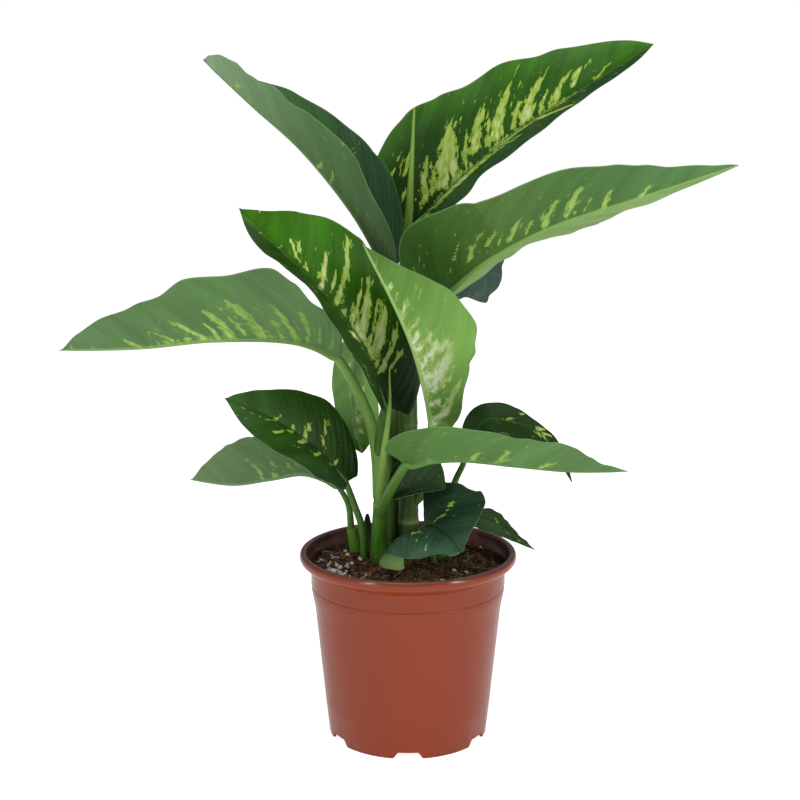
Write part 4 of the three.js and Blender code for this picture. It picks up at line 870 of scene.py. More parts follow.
def bladeArrays(leaf, number):
    # the upper and lower faces' points, and every point's place on the blade
    form = bladeForm
    ribLength = evenCurve(leaf["rib"], 2)[1]
    stations = max(form["fewestStations"], int(ribLength * mm * form["stationsPerMetre"]))
    u = np.linspace(0, 1, stations + 1)
    origin = smoothCurve(leaf["rib"], u)
    ahead = smoothCurve(leaf["rib"], np.minimum(u + 1e-3, 1))
    tangent = unit(ahead - smoothCurve(leaf["rib"], np.maximum(u - 1e-3, 0)))
    near = halfBlade(leaf["near"], 1, u, origin, tangent, ribLength, number)
    far = halfBlade(leaf["far"], -1, u, origin, tangent, ribLength, number)
    # columns run from the near edge over the midrib to the far edge
    joined = [np.concatenate([a[:, ::-1], b[:, 1:]], 1) for a, b in zip(near, far)]
    points, away, vein, v, raised = joined
    along = np.gradient(points, axis=0)
    across = -np.gradient(points, axis=1)
    normal = unit(np.cross(along, across)) * leaf["face"]
    distance = np.abs(away)
    ridgeHeight = mixed(*form["ridgeHeight"], u)[:, None]
    ridgeWidth = mixed(*form["ridgeWidth"], u)[:, None]
    taper = smoothStep(1.0, form["ridgeEnds"], u)[:, None]
    groove = form["grooveDepth"] * np.exp(-((distance / form["grooveWidth"]) ** 2)) * taper
    ridge = ridgeHeight * np.exp(-((distance / ridgeWidth) ** 2)) * taper
    thick = mixed(form["thickness"], form["edgeThickness"], v) / 2
    upper = points + normal * (thick + raised - groove)[:, :, None]
    lower = points + normal * (-thick + raised - ridge)[:, :, None]
    return u, upper, lower, away, vein, v


def gridFaces(rows, columns, offset):
    i, j = np.meshgrid(np.arange(rows - 1), np.arange(columns - 1), indexing="ij")
    a = (offset + i * columns + j).ravel()
    return np.stack([a, a + columns, a + columns + 1, a + 1], 1)


petiole = {
    "radii": (4.4, 2.8), "smallRadii": (3.6, 2.2),
    "small": 150,  # a leaf whose midrib is shorter than this, in mm, has the small radii
    "sides": 20, "steps": 60,
    "channel": 0.22, "channelWidth": 0.55,  # the hollow above: a share of the radius, and radians
    "reach": 0.14, "underSteps": 5,  # the share of the midrib under which the petiole runs out
    "sunk": 0.55,  # how far it lies there on the way from the midrib's line to the ridge
    "fadeShare": 0.9, "fade": 0.72,  # how much of the reach it thins over, and by how much
}
noPetioleWay = (0.12, 0.08, 1.0)  # a way that no petiole points, to start its section from


def tube(points, radii, sides, channel):
    # a closed tube through the points; channel gives how deep its upper side is hollowed, as a share
    points, radii = np.asarray(points, float), np.asarray(radii)
    count = len(points)
    tangent = unit(np.gradient(points, axis=0))
    side = unit(np.cross(tangent, np.array(noPetioleWay)))
    for k in range(1, count):  # carry the section along without twist
        moved = side[k - 1] - np.dot(side[k - 1], tangent[k]) * tangent[k]
        side[k] = moved / np.linalg.norm(moved)
    lift = np.cross(side, tangent)
    turn = np.linspace(0, 2 * np.pi, sides, endpoint=False)
    hollow = np.exp(-((turn - np.pi / 2) / petiole["channelWidth"]) ** 2)
    shape = radii[:, None] * (1 - channel[:, None] * hollow[None])
    ring = (points[:, None, :] + shape[:, :, None] * (np.cos(turn)[None, :, None] * side[:, None, :]
            + np.sin(turn)[None, :, None] * lift[:, None, :]))
    vertices = np.concatenate([ring.reshape(-1, 3), points[:1], points[-1:]])
    first, last = len(vertices) - 2, len(vertices) - 1
    faces = ringFaces(count, sides)
    for j in range(sides):
        faces.append((first, (j + 1) % sides, j))
        faces.append((last, (count - 1) * sides + j, (count - 1) * sides + (j + 1) % sides))
    lengths = np.concatenate([[0], np.cumsum(np.linalg.norm(np.diff(points, axis=0), axis=1))])
    alongStalk = np.concatenate([np.repeat(lengths, sides), [0, lengths[-1]]])
    around = np.concatenate([(radii[:, None] * np.abs(turn - np.pi)[None]).ravel(), [0, 0]])
    return vertices, faces, alongStalk, around


def petioleTube(leaf, lower):
    # from its stem to a little way under the blade
    rows, columns = lower.shape[:2]
    ribLength = evenCurve(leaf["rib"], 2)[1]
    radii = petiole["smallRadii"] if ribLength < petiole["small"] else petiole["radii"]
    reach, count = petiole["reach"], petiole["underSteps"]
    underRib = lower[:, (columns - 1) // 2][:: max(1, int(rows * reach / (count - 1)))][:count]
    ridge = smoothCurve(leaf["rib"], np.linspace(0, reach, count))
    route = [np.array(p, float) for p in leaf["stalk"]]
    route += [mixed(a, b, petiole["sunk"]) for a, b in zip(ridge, underRib)]
    path, length = evenCurve(route, petiole["steps"])
    t = np.linspace(0, 1, petiole["steps"])
    blend = smoothStep(1 - petiole["fadeShare"] * reach * ribLength / length, 1.0, t)
    thickness = mixed(radii[0], radii[1], t) * leaf.get("girth", 1) * (1 - petiole["fade"] * blend)
    return tube(path, thickness, petiole["sides"], petiole["channel"] * (1 - blend)), length


def bladeFaces(rows, columns, face):
    # both faces of the blade and the rim between them, and each one's material
    count = rows * columns
    top = gridFaces(rows, columns, 0)
    under = gridFaces(rows, columns, count)[:, ::-1]
    border = [(0, j) for j in range(columns - 1)] + [(i, columns - 1) for i in range(rows - 1)]
    border += [(rows - 1, j) for j in range(columns - 1, 0, -1)] + [(i, 0) for i in range(rows - 1, 0, -1)]
    index = [i * columns + j for i, j in border]
    rim = np.array([(a, b, b + count, a + count) for a, b in zip(index, index[1:] + index[:1])])
    faces = np.concatenate([top, under, rim])
    if face < 0:
        faces = faces[:, ::-1]
    return [tuple(corners) for corners in faces.tolist()], [0] * len(top) + [1] * (len(under) + len(rim))


def bladeGreens(look, along, v, away):
    # the colours of the upper and the lower face at every point
    form = bladeForm
    tints = [(form["dryTip"], smoothStep(form["dryFrom"], 1.0, along))]
    if "farTint" in look:  # the far half blended toward another colour; on leafCentre this is painted shade
        tints.append((look["farTint"], smoothStep(*form["farTintFrom"], -away)))
    if "paintedSheen" in look:  # painted sheen: a lighter zone along the near edge, for the lamps' reflection
        zone = form["paintedSheenShare"] * smoothStep(form["paintedSheenFrom"], 1.0, v) * (away > 0)
        tints.append((look["paintedSheen"], zone))
    greens = [blendedColours(look[face], along) for face in ("upper", "under")]
    for colour, share in tints:
        greens = [mixed(face, np.array(hexColour(colour)), share[:, None]) for face in greens]
    return greens


def makeLeaf(name, leaf, number):
    u, upper, lower, away, vein, v = bladeArrays(leaf, number)
    (stalk, stalkFaces, alongStalk, around), stalkLength = petioleTube(leaf, lower)
    rows, columns = away.shape
    count = rows * columns
    faces, slots = bladeFaces(rows, columns, leaf["face"])
    faces += [tuple(k + 2 * count for k in corners) for corners in stalkFaces]
    vertices = np.concatenate([upper.reshape(-1, 3), lower.reshape(-1, 3), stalk]) * mm
    skins = [upperSkin, underSkin, petioleSkin]
    obj = newObject(name + "Blade", vertices, faces, skins, bladeForm["sharpAngle"])
    obj.data.polygons.foreach_set("material_index", slots + [2] * len(stalkFaces))

    # what the materials read at every point: the upper face's, the lower face's, then the petiole's
    look = leaf["look"]
    along = np.repeat(u, columns)
    onStalk, onBlade = np.zeros(len(stalk)), np.zeros(2 * count)
    everywhere = np.ones(2 * count + len(stalk))
    bladeValues = {"acrossBlade": away, "veinPlace": vein, "edgeShare": v,
                   "creamField": creamAmount(leaf["streaks"], vein, away)}
    for attribute, values in bladeValues.items():
        addAttribute(obj.data, attribute, np.concatenate([values.ravel(), values.ravel(), onStalk]))
    stalkColour = blendedColours(look["petiole"], alongStalk / stalkLength)
    greens = bladeGreens(look, along, v.ravel(), away.ravel())
    addAttribute(obj.data, "skinColour", np.concatenate(greens + [stalkColour]))
    ribColours = [np.tile(hexColour(colour), (count, 1)) for colour in look["ribs"]]
    addAttribute(obj.data, "ribColour", np.concatenate(ribColours + [stalkColour]))
    ribTaper = mixed(1.0, bladeForm["ribTip"], along)
    ribWidths = [width * ribTaper for width in bladeForm["ribWidth"]]
    addAttribute(obj.data, "ribWidth", np.concatenate(ribWidths + [onStalk + 1]))
    addAttribute(obj.data, "alongStalk", np.concatenate([onBlade, alongStalk]))
    addAttribute(obj.data, "roundStalk", np.concatenate([onBlade, around]))
    addAttribute(obj.data, "leafNumber", everywhere * number)
    addAttribute(obj.data, "creamWhiteness", everywhere * look.get("whiteness", 0.0))
    dress(obj, name)


for number, (name, leaf) in enumerate(leaves.items()):
    makeLeaf(name, leaf, number)
print("leaves made:", len(leaves))

caneSkin = stalkMaterial("smoothCaneSkin", roughness=0.42, contrast=0.22)
stubSkin = stalkMaterial("dryCutStem", roughness=0.75, contrast=0.35)  # dead and dull, with coarse flecks
spearSkin = stalkMaterial("waxedRolledLeaf", roughness=0.45, contrast=0.12)

# the paths and radii of the solids, in mm; colours from foot to top, spaced evenly or at given places; a
# node ring has its place along the stem from 0 to 1 and its colour
stems = {
    "mainCane": {
        "points": [(1, 20, 116), (0, 21, 250), (-1, 20, 372)], "radii": (9.5, 8), "slot": "stem",
        "skin": caneSkin,
        # painted shade: the cane stays dark below 0.26 and darker again toward the top, where the leaves
        # shade it; the sheath between is lighter
        "colours": [(0, "#32462A"), (0.26, "#384F26"), (0.28, "#4A6634"), (0.6, "#3E5A2C"), (1, "#36522A")],
        "rings": [(0.12, "#3E5426"), (0.275, "#7C925E"), (0.45, "#4A642E"), (0.62, "#4A6630")],
    },
    "frontShoot": {
        "points": [(-27, 0, 116), (-26.5, 0, 158), (-23.8, 0, 213)], "radii": (7.6, 6.1), "slot": "stem",
        "skin": caneSkin, "colours": ["#42682A", "#3C6426", "#446E28", "#4C762E"],
        "rings": [(0.45, "#3E5A26"), (0.93, "#7A9955")],
    },
    "leftShoot": {
        "points": [(-46, 27, 120), (-47, 27, 154), (-50, 26, 178)], "radii": (5.4, 4.8), "slot": "stem",
        "skin": caneSkin, "colours": ["#4E7C32", "#5C8A3A", "#6E9844"], "rings": [(0.6, "#66864A")],
    },
    "backShoot": {
        "points": [(-13.5, 31, 118), (-13.5, 31, 200), (-12, 33, 286)], "radii": (6.9, 6), "slot": "stem",
        "skin": caneSkin, "colours": ["#3A5626", "#466430", "#5A7C40"],
        "rings": [(0.3, "#33502A"), (0.6, "#33502A")],
    },
    "rightShoot": {
        "points": [(30, 13, 120), (29, 12, 156), (28, 12, 172)], "radii": (5, 4.4), "slot": "stem",
        "skin": caneSkin, "colours": ["#2C4A1C", "#3C5C28"], "rings": [(0.7, "#4E6E38")],
    },
    "cutStub": {
        "points": [(-35, 22, 124), (-35.5, 22, 156), (-36, 21, 192)], "radii": (4, 3.5),
        "slot": "dead_stem", "skin": stubSkin, "colours": ["#324824", "#344E26", "#22341A"], "rings": [],
        "roundTop": 0.25,  # the share of its length over which its top is rounded off
    },
    "spearTop": {
        "points": [(-1, 20, 362), (-3, 12, 417), (1, 8, 466), (5, 14, 547)], "radii": (6.2, 0.8),
        "slot": "young_leaf", "skin": spearSkin, "colours": ["#54783A", "#76984C", "#82A452"], "rings": [],
    },
    "spearFront": {
        "points": [(-24, -2, 208), (-21, -20, 256), (-16, -36, 298), (-15.8, -46, 336)],
        "radii": (4.6, 0.5), "slot": "young_leaf", "skin": spearSkin,
        "colours": ["#6C8C40", "#86A85C", "#76984E"], "rings": [],
    },
}
stemForm = {
    "steps": 140, "sides": 40, "sharpAngle": 50,
    "ringHalfWidth": 1.6, "ringRise": 0.05,  # mm along the stem, and how far it stands out as a share
    "roundedAway": 0.9,  # the share of its section that a rounded top has lost at its end
    "firstNumber": 40,  # the stems' places in the fleck noise start past the leaves' ones
}


def makeSweepTree():
    # sweeps a round section along the path, as wide as the path's own girth, and notes the place on it
    tree, given = newTree("stemSweep", {"Sides": "NodeSocketInt", "Skin": "NodeSocketMaterial"})
    path = addNode(tree, "GeometryNodeMeshToCurve", {"Mesh": given["Geometry"]})
    girth = addNode(tree, "GeometryNodeInputNamedAttribute", {"Name": "girth"}, data_type="FLOAT")
    circle = addNode(tree, "GeometryNodeCurvePrimitiveCircle", {
        "Resolution": given["Sides"], "Radius": 1.0})
    turn = addNode(tree, "GeometryNodeSplineParameter").outputs["Factor"]
    fromBack = addNode(tree, "ShaderNodeMath", {0: turn, 1: 0.5}, operation="SUBTRACT")
    fromBack = addNode(tree, "ShaderNodeMath", {0: fromBack}, operation="ABSOLUTE")
    section = addNode(tree, "GeometryNodeStoreNamedAttribute", {
        "Geometry": circle, "Name": "turnShare", "Value": fromBack}, data_type="FLOAT")
    stem = addNode(tree, "GeometryNodeCurveToMesh", {
        "Curve": path, "Profile Curve": section, "Scale": girth, "Fill Caps": True})
    share = addNode(tree, "GeometryNodeInputNamedAttribute", {"Name": "turnShare"}, data_type="FLOAT")
    around = addNode(tree, "ShaderNodeMath", {0: share, 1: girth}, operation="MULTIPLY")
    around = addNode(tree, "ShaderNodeMath", {0: around, 1: 2 * math.pi / mm}, operation="MULTIPLY")
    stem = addNode(tree, "GeometryNodeStoreNamedAttribute", {
        "Geometry": stem, "Name": "roundStalk", "Value": around}, data_type="FLOAT")
    stem = addNode(tree, "GeometryNodeRealizeInstances", {"Geometry": stem})
    stem = addNode(tree, "GeometryNodeSetMaterial", {"Geometry": stem, "Material": given["Skin"]})
    addNode(tree, "NodeGroupOutput", {"Geometry": stem})
    return tree


sweepTree = makeSweepTree()


def makeStem(name, stem, number):
    steps = stemForm["steps"]
    path, length = evenCurve(stem["points"], steps)
    t = np.linspace(0, 1, steps)
    radii = mixed(stem["radii"][0], stem["radii"][1], t)
    colours = blendedColours(stem["colours"], t)
    for place, colour in stem["rings"]:
        ring = np.exp(-(((t - place) * length / stemForm["ringHalfWidth"]) ** 2))
        radii = radii * (1 + stemForm["ringRise"] * ring)
        colours = mixed(colours, np.array(hexColour(colour)), ring[:, None])
    if "roundTop" in stem:
        intoTop = np.clip((t - 1) / stem["roundTop"] + 1, 0, 1)
        radii = radii * np.sqrt(1 - stemForm["roundedAway"] * intoTop**2)
    edges = [(k, k + 1) for k in range(steps - 1)]
    obj = newObject(name + "Skin", path * mm, [], [stem["skin"]], None, edges)
    addAttribute(obj.data, "girth", radii * mm)
    addAttribute(obj.data, "alongStalk", t * length)
    addAttribute(obj.data, "skinColour", colours)
    addAttribute(obj.data, "leafNumber", np.full(steps, stemForm["firstNumber"] + number))
    obj.data = plainMesh(obj, sweepTree, {"Sides": stemForm["sides"], "Skin": stem["skin"]})
    smoothMesh(obj.data, stemForm["sharpAngle"])
    dress(obj, name)


for number, (name, stem) in enumerate(stems.items()):
    makeStem(name, stem, number)
print("stems made:", len(stems))

pot = {
    "rimRadius": 95.0, "footRadius": 70.1, "collarRadius": 84.8, "wall": 1.6, "sides": 360,
    "plateUnder": 3.4, "plateTop": 6.4,  # the base plate's two faces over the surface the pot stands on
    "notches": 6, "notchHeight": 5.8, "notchBottom": 13.0, "notchTop": 9.0,  # half widths at foot and top
    "notchReach": 61.4,  # only what lies farther out than this is notched
    "lipPoints": 9,  # how many profile points before the lip's highest one already have the inside's colour, which paints shade and a reflection on the lip's top
    "sharpAngle": 40,
}
potLook = {
    # inside: painted shade and reflection, a darker purple-brown for the shaded inner wall and the greyish
    # reflection on the lip's top
    "skin": "#8C3208", "cloudedSkin": "#90360C", "inside": "#6E4038",
    "cloudRate": 14.0, "grainRate": 900.0,  # clouds of about 71 mm and grains of about 1.1 mm, to the metre
    "roughness": 0.2, "cloudRoughness": 0.05, "insideGloss": 0.1, "ior": 1.49, "specular": 0.46,
    "relief": 0.25, "reliefDepth": 0.1,
}


def roundedProfile(corners, steps=6, mostOfSide=0.48):
    # (radius, height, fillet) corners as a smooth line of points
    line = []
    for k, (r, z, fillet) in enumerate(corners):
        here = np.array([r, z])
        if fillet <= 0 or k in (0, len(corners) - 1):
            line.append(here)
            continue
        back = np.array(corners[k - 1][:2]) - here
        ahead = np.array(corners[k + 1][:2]) - here
        reachBack = min(fillet, np.linalg.norm(back) * mostOfSide)
        reachAhead = min(fillet, np.linalg.norm(ahead) * mostOfSide)
        start = here + back / np.linalg.norm(back) * reachBack
        end = here + ahead / np.linalg.norm(ahead) * reachAhead
        for t in np.linspace(0, 1, steps):
            line.append((1 - t) ** 2 * start + 2 * t * (1 - t) * here + t**2 * end)
    return np.array(line)


def potMaterial():
    # injection-moulded polypropylene: an even satin skin with faint flow clouds, glossier inside; the inside
    # and the lip's top take a darker purple-brown, painted shade on the inner wall and a painted reflection
    # on the lip
    material, tree, shader = newMaterial("mouldedPolypropylene")
    place = addNode(tree, "ShaderNodeTexCoord").outputs["Object"]
    inside = addNode(tree, "ShaderNodeAttribute", attribute_name="insideShare").outputs["Fac"]
    cloud = addNode(tree, "ShaderNodeTexNoise", {
        "Vector": place, "Scale": potLook["cloudRate"], "Detail": 3.0, "Roughness": 0.5})
    grain = addNode(tree, "ShaderNodeTexNoise", {
        "Vector": place, "Scale": potLook["grainRate"], "Detail": 2.0, "Roughness": 0.6})
    skin = addNode(tree, "ShaderNodeMix", {
        0: cloud, 6: hexColour(potLook["skin"]), 7: hexColour(potLook["cloudedSkin"])}, data_type="RGBA")
    # painted shade and reflection: the inside and the lip's top take the inside colour
    skin = addNode(tree, "ShaderNodeMix", {
        0: inside, 6: skin, 7: hexColour(potLook["inside"])}, data_type="RGBA")
    tree.links.new(skin.outputs[2], shader.inputs["Base Color"])
    gloss = addNode(tree, "ShaderNodeMath", {
        0: cloud, 1: potLook["cloudRoughness"], 2: potLook["roughness"]}, operation="MULTIPLY_ADD")
    gloss = addNode(tree, "ShaderNodeMath", {
        0: inside, 1: -potLook["insideGloss"], 2: gloss}, operation="MULTIPLY_ADD")
    tree.links.new(gloss.outputs[0], shader.inputs["Roughness"])
    shader.inputs["IOR"].default_value = potLook["ior"]
    shader.inputs["Specular IOR Level"].default_value = potLook["specular"]
    bump = addNode(tree, "ShaderNodeBump", {
        "Strength": potLook["relief"], "Distance": potLook["reliefDepth"] * mm, "Height": grain})
    tree.links.new(bump.outputs["Normal"], shader.inputs["Normal"])
    return material


def weld(obj, distance=0.01 * mm):
    # the lathe's rings meet in one point on the axis; the same spots become one vertex
    work = bmesh.new()
    work.from_mesh(obj.data)
    bmesh.ops.remove_doubles(work, verts=work.verts, dist=distance)
    bmesh.ops.dissolve_degenerate(work, edges=work.edges, dist=distance / 10)
    bmesh.ops.recalc_face_normals(work, faces=work.faces)
    work.to_mesh(obj.data)
    work.free()


def potCorners():
    # half the pot's section, from the middle of its underside round to the middle of its plate's upper side
    rim, foot, collar, wall = pot["rimRadius"], pot["footRadius"], pot["collarRadius"], pot["wall"]
    under, plate = pot["plateUnder"], pot["plateTop"]
    return [
        # base plate, foot ring and the thin step above it
        (0, under, 0), (foot - 3.2, under, 1), (foot - 2.6, 0, 0.5), (foot - 0.3, 0, 0.7),
        (foot + 2.8, 28, 0), (foot + 2.88, 28.3, 0.2), (foot + 2.95, 29.6, 0.3),
        # the wall swells into the collar, and a thin groove runs round it
        (collar - 2.85, 118, 5), (collar - 0.15, 130, 5),
        (collar, 135.3, 0.2), (collar - 0.35, 135.5, 0.1), (collar - 0.3, 136.2, 0.1),
        (collar + 0.35, 136.5, 0.2), (collar + 0.3, 151.2, 1),
        # flare and lip
        (collar + 2.7, 152.8, 1.2), (rim - 1.3, 157.4, 3), (rim, 160.2, 1.5), (rim - 0.1, 163.4, 1.6),
        (rim - 1.5, 165.5, 1.4), (rim - 4.4, 165.7, 1.6), (rim - 6.0, 164.6, 1.4), (rim - 7.2, 158, 3),
        # inside
        (collar - wall, 151.0, 2), (collar - wall, 130, 2), (collar - 2.8 - wall, 119, 2),
        (foot + 0.5 - wall, plate + 1, 1.5), (foot - 3, plate, 1), (0, plate, 0),
    ]


def makePot():
    line = roundedProfile(potCorners())
    rings, sides = len(line), pot["sides"]
    turn = np.linspace(0, 2 * np.pi, sides, endpoint=False) - np.pi / 2
    step = 2 * np.pi / pot["notches"]
    # mm round the foot from the nearest notch's middle
    offset = np.abs((turn + np.pi / 2 + step / 2) % step - step / 2) * pot["footRadius"]
    slant = pot["notchBottom"] - pot["notchTop"]
    notch = pot["notchHeight"] * np.clip((pot["notchBottom"] - offset) / slant, 0, 1)
    vertices = []
    for r, z in line:
        height = np.full(sides, z)
        if r > pot["notchReach"] and z < pot["notchHeight"]:
            height = np.maximum(height, notch)
        vertices.append(np.stack([r * np.cos(turn), r * np.sin(turn), height], 1))
    obj = newObject("potShell", np.concatenate(vertices) * mm, ringFaces(rings, sides), [potMaterial()])
    inside = np.arange(rings) >= np.argmax(line[:, 1]) - pot["lipPoints"]
    addAttribute(obj.data, "insideShare", np.repeat(inside.astype(float), sides))
    weld(obj)
    obj.data.set_sharp_from_angle(angle=math.radians(pot["sharpAngle"]))
    dress(obj, "pot")


makePot()
print("pot made")

soil = {
    "level": 156.0, "radius": 84.6, "rings": 90, "sides": 260,
    "edgeDrop": 2.5, "dropPower": 8,  # how far the soil sinks at its edge, and how late the slope begins
    "below": [(82.8, 146), (82.8, 131), (80.0, 120), (66.5, 7.0)],  # radius and height of the lower rings
    "bump": 1.6, "wideShare": 0.8, "lumpShare": 1.5,  # hollows some centimetres wide, and lumps on them
    # three crossing waves: (turn per mm, shift) along x and along y, and the slanting one's turns along both
    "waves": ((0.115, 0.8), (0.093, -0.4), (0.23, 0.19)), "slantShare": 0.6,
    "lumpRate": 0.12,  # lumps per mm
    "lumpLevels": (0.9, 2.1, 5),  # how fast finer lumps flatten, how much finer each level is, how many
    "looseRadius": 82.5,  # no crumb, grain or fibre starts farther out than this
    "looseDepth": 8,  # nor farther down than this
    "clear": [(1, 20, 11), (-27, 0, 9.5), (-46, 27, 7.5), (-13.5, 31, 9), (30, 13, 7), (-35, 22, 6),
              (24, -12, 6.5), (-39, 8, 6.5)],  # stem middles and the bare radius round each, in mm
    "perlite": [(-66, -18, 16, 1.0), (-58, 18, 12, 0.7), (-50, -44, 9, 0.8), (76, 40, 7, 0.5),
                (60, -16, 6, 0.6), (45, -37, 6, 0.4)],  # where the white grains lie: x, y, spread, strength
    "strayPerlite": 0.02,
}
peatLook = {
    "crumbRate": 420.0, "patchRate": 45.0,  # crumbs of about 2.4 mm and patches of about 22 mm, to the metre
    "dryFrom": 0.75, "dryFull": 1.3,  # where the sum of both noises brings the paler colour in
    "reliefDepth": 1.0, "specular": 0.2,
}


def peatMaterial(name, dark, light, roughness):
    # damp peat: dark brown crumbs, matte, with paler dry patches; its loose bits have colours of their own
    material, tree, shader = newMaterial(name)
    place = addNode(tree, "ShaderNodeTexCoord").outputs["Object"]
    crumbs = addNode(tree, "ShaderNodeTexNoise", {
        "Vector": place, "Scale": peatLook["crumbRate"], "Detail": 5.0, "Roughness": 0.7})
    patches = addNode(tree, "ShaderNodeTexNoise", {
        "Vector": place, "Scale": peatLook["patchRate"], "Detail": 3.0, "Roughness": 0.6})
    both = addNode(tree, "ShaderNodeMath", {0: crumbs, 1: patches}, operation="ADD")
    share = addNode(tree, "ShaderNodeMapRange", {
        "Value": both, "From Min": peatLook["dryFrom"], "From Max": peatLook["dryFull"]})
    skin = addNode(tree, "ShaderNodeMix", {
        0: share, 6: hexColour(dark), 7: hexColour(light)}, data_type="RGBA")
    tree.links.new(skin.outputs[2], shader.inputs["Base Color"])
    shader.inputs["Roughness"].default_value = roughness
    shader.inputs["Specular IOR Level"].default_value = peatLook["specular"]
    bump = addNode(tree, "ShaderNodeBump", {
        "Strength": 1.0, "Distance": peatLook["reliefDepth"] * mm, "Height": crumbs})
    tree.links.new(bump.outputs["Normal"], shader.inputs["Normal"])
    return material


def soilHeight(x, y):
    (rateX, shiftX), (rateY, shiftY), (slantX, slantY) = soil["waves"]
    wide = math.sin(x * rateX + shiftX) * math.cos(y * rateY + shiftY)
    wide = wide + soil["slantShare"] * math.sin(x * slantX + y * slantY)
    spot = Vector((x * soil["lumpRate"], y * soil["lumpRate"], 3.0))
    lumps = noise.fractal(spot, *soil["lumpLevels"])
    return soil["bump"] * (soil["wideShare"] * wide + soil["lumpShare"] * lumps)


def makeSoil():
    rings, sides, level = soil["rings"], soil["sides"], soil["level"]
    turn = np.linspace(0, 2 * np.pi, sides, endpoint=False)
    vertices = [(0, 0, level + soilHeight(0, 0))]
    for i in range(1, rings + 1):
        r = soil["radius"] * i / rings
        drop = soil["edgeDrop"] * (i / rings) ** soil["dropPower"]
        for a in turn:
            x, y = r * math.cos(a), r * math.sin(a)
            vertices.append((x, y, level + soilHeight(x, y) - drop))
    for radius, height in soil["below"]:
        for a in turn:
            vertices.append((radius * math.cos(a), radius * math.sin(a), height))
    vertices.append((0, 0, soil["below"][-1][1]))
    allRings = rings + len(soil["below"])
    faces = [(0, 1 + j, 1 + (j + 1) % sides) for j in range(sides)]
    faces += [(a, d, c, b) for a, b, c, d in ringFaces(allRings, sides, 1)]
    last = len(vertices) - 1
    base = 1 + (allRings - 1) * sides
    faces += [(last, base + (j + 1) % sides, base + j) for j in range(sides)]
    skin = peatMaterial("dampPeat", "#140E0A", "#4A3424", roughness=0.9)
    obj = newObject("soilSurface", np.array(vertices) * mm, faces, [skin])

    # where loose crumbs and white grains may lie: on top, clear of the wall and the stems
    x, y, z = np.array(vertices).T
    loose = ((np.hypot(x, y) < soil["looseRadius"]) & (z > level - soil["looseDepth"])).astype(float)
    for stemX, stemY, radius in soil["clear"]:
        loose[np.hypot(x - stemX, y - stemY) < radius] = 0
    white = np.full(len(x), soil["strayPerlite"])
    for grainX, grainY, spread, strength in soil["perlite"]:
        white += strength * np.exp(-(((x - grainX) / spread) ** 2 + ((y - grainY) / spread) ** 2))
    addAttribute(obj.data, "looseShare", loose)
    addAttribute(obj.data, "whiteShare", loose * white)
    dress(obj, "soil")
    return obj


grainForm = {"detail": 2, "dentRate": 1.1}
fibreForm = {
    "points": 9, "sides": 5,
    "tilt": 0.12,  # radians off the level
    "swayRate": 110.0,  # a bend about every 9 mm
    "swayMiddle": (0.5, 0.5, 0.42),  # below 0.5, so that the fibres rise a little
}


def scatterOnSoil(tree, given, share):
    # points on the soil's top, as dense as the named share says
    place = addNode(tree, "GeometryNodeInputNamedAttribute", {"Name": share}, data_type="FLOAT")
    density = addNode(tree, "ShaderNodeMath", {0: place, 1: given["Density"]}, operation="MULTIPLY")
    return addNode(tree, "GeometryNodeDistributePointsOnFaces", {
        "Mesh": given["Geometry"], "Density": density, "Seed": given["Seed"]})


def makeGrainTree(name, share):
    # lumps of one to a few millimetres, each a dented ball, turned and sized at random
    tree, given = newTree(name, {
        "Density": "NodeSocketFloat", "Seed": "NodeSocketInt", "Smallest": "NodeSocketFloat",
        "Largest": "NodeSocketFloat", "Dent": "NodeSocketFloat", "Skin": "NodeSocketMaterial"})
    ball = addNode(tree, "GeometryNodeMeshIcoSphere", {
        "Radius": 1.0, "Subdivisions": grainForm["detail"]})
    spot = addNode(tree, "GeometryNodeInputPosition")
    lumps = addNode(tree, "ShaderNodeTexNoise", {
        "Vector": spot, "Scale": grainForm["dentRate"], "Detail": 1.0})
    centred = addNode(tree, "ShaderNodeVectorMath", {
        0: lumps.outputs["Color"], 1: (0.5, 0.5, 0.5)}, operation="SUBTRACT")
    shift = addNode(tree, "ShaderNodeVectorMath", {0: centred, "Scale": given["Dent"]}, operation="SCALE")
    grain = addNode(tree, "GeometryNodeSetPosition", {"Geometry": ball, "Offset": shift})
    points = scatterOnSoil(tree, given, share)
    turn = addNode(tree, "FunctionNodeRandomValue", {
        "Min": (0, 0, 0), "Max": (2 * math.pi,) * 3, "Seed": given["Seed"]}, data_type="FLOAT_VECTOR")
    size = addNode(tree, "FunctionNodeRandomValue", {
        2: given["Smallest"], 3: given["Largest"], "Seed": given["Seed"]}, data_type="FLOAT")
    copies = addNode(tree, "GeometryNodeInstanceOnPoints", {
        "Points": points, "Instance": grain, "Rotation": turn, "Scale": size})
    copies = addNode(tree, "GeometryNodeRealizeInstances", {"Geometry": copies})
    copies = addNode(tree, "GeometryNodeSetMaterial", {"Geometry": copies, "Material": given["Skin"]})
    addNode(tree, "NodeGroupOutput", {"Geometry": copies})
    return tree


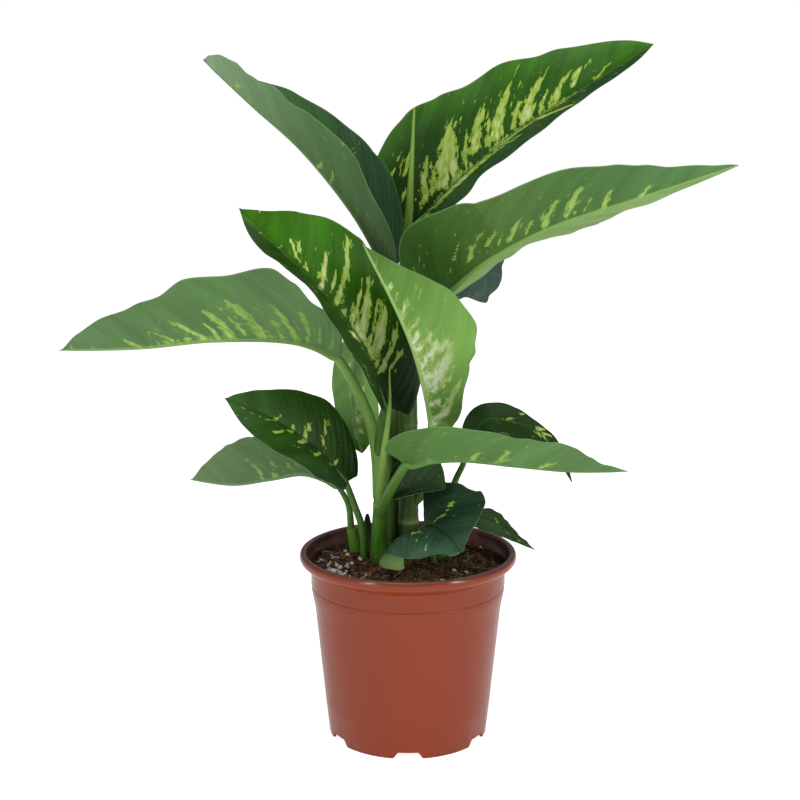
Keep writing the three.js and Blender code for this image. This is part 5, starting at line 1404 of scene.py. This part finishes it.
def makeFibreTree():
    # thin bent fibres that lie on the soil
    tree, given = newTree("peatFibres", {
        "Density": "NodeSocketFloat", "Seed": "NodeSocketInt", "Shortest": "NodeSocketFloat",
        "Longest": "NodeSocketFloat", "Thickness": "NodeSocketFloat", "Bend": "NodeSocketFloat",
        "Skin": "NodeSocketMaterial"})
    line = addNode(tree, "GeometryNodeCurvePrimitiveLine", {"Start": (-0.5, 0, 0), "End": (0.5, 0, 0)})
    line = addNode(tree, "GeometryNodeResampleCurve", {"Curve": line, "Count": fibreForm["points"]})
    points = scatterOnSoil(tree, given, "looseShare")
    tilt = fibreForm["tilt"]
    turn = addNode(tree, "FunctionNodeRandomValue", {
        "Min": (-tilt, -tilt, 0), "Max": (tilt, tilt, 2 * math.pi), "Seed": given["Seed"]},
        data_type="FLOAT_VECTOR")
    length = addNode(tree, "FunctionNodeRandomValue", {
        2: given["Shortest"], 3: given["Longest"], "Seed": given["Seed"]}, data_type="FLOAT")
    copies = addNode(tree, "GeometryNodeInstanceOnPoints", {
        "Points": points, "Instance": line, "Rotation": turn, "Scale": length})
    copies = addNode(tree, "GeometryNodeRealizeInstances", {"Geometry": copies})
    spot = addNode(tree, "GeometryNodeInputPosition")
    sway = addNode(tree, "ShaderNodeTexNoise", {
        "Vector": spot, "Scale": fibreForm["swayRate"], "Detail": 1.0})
    centred = addNode(tree, "ShaderNodeVectorMath", {
        0: sway.outputs["Color"], 1: fibreForm["swayMiddle"]}, operation="SUBTRACT")
    shift = addNode(tree, "ShaderNodeVectorMath", {0: centred, "Scale": given["Bend"]}, operation="SCALE")
    copies = addNode(tree, "GeometryNodeSetPosition", {"Geometry": copies, "Offset": shift})
    circle = addNode(tree, "GeometryNodeCurvePrimitiveCircle", {
        "Resolution": fibreForm["sides"], "Radius": given["Thickness"]})
    fibres = addNode(tree, "GeometryNodeCurveToMesh", {
        "Curve": copies, "Profile Curve": circle, "Fill Caps": True})
    fibres = addNode(tree, "GeometryNodeSetMaterial", {"Geometry": fibres, "Material": given["Skin"]})
    addNode(tree, "NodeGroupOutput", {"Geometry": fibres})
    return tree


soilSurface = makeSoil()
crumbSkin = peatMaterial("peatCrumb", "#302016", "#866246", roughness=0.9)
perliteSkin = peatMaterial("expandedPerlite", "#C0BAAE", "#F2F0EA", roughness=0.8)  # chalky white grains
fibreSkin = peatMaterial("dryPeatFibre", "#4A3020", "#9A7452", roughness=0.8)
rootSkin = peatMaterial("paleRoot", "#8C7A5C", "#C9BB9C", roughness=0.7)
crumbTree = makeGrainTree("peatCrumbs", "looseShare")
perliteTree = makeGrainTree("perliteGrains", "whiteShare")
fibreTree = makeFibreTree()
# the densities are grains to the square metre of soil
loosePieces = {
    "peatCrumbs": (crumbTree, {"Density": 62000.0, "Seed": 4, "Smallest": 0.5 * mm, "Largest": 2.3 * mm,
                               "Dent": 1.3, "Skin": crumbSkin}),
    "perliteGrains": (perliteTree, {"Density": 42000.0, "Seed": 11, "Smallest": 0.4 * mm,
                                    "Largest": 2.6 * mm, "Dent": 1.7, "Skin": perliteSkin}),
    "peatFibres": (fibreTree, {"Density": 42000.0, "Seed": 7, "Shortest": 4 * mm, "Longest": 14 * mm,
                               "Thickness": 0.22 * mm, "Bend": 9 * mm, "Skin": fibreSkin}),
    "fineRoots": (fibreTree, {"Density": 1500.0, "Seed": 23, "Shortest": 8 * mm, "Longest": 22 * mm,
                              "Thickness": 0.3 * mm, "Bend": 12 * mm, "Skin": rootSkin}),
}
for name, (tree, values) in loosePieces.items():
    piece = addObject(name, soilSurface.data)
    piece.data = plainMesh(piece, tree, values)
    smoothMesh(piece.data)
    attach(piece, body)
    print(name, len(piece.data.polygons), "faces")
print("soil made")
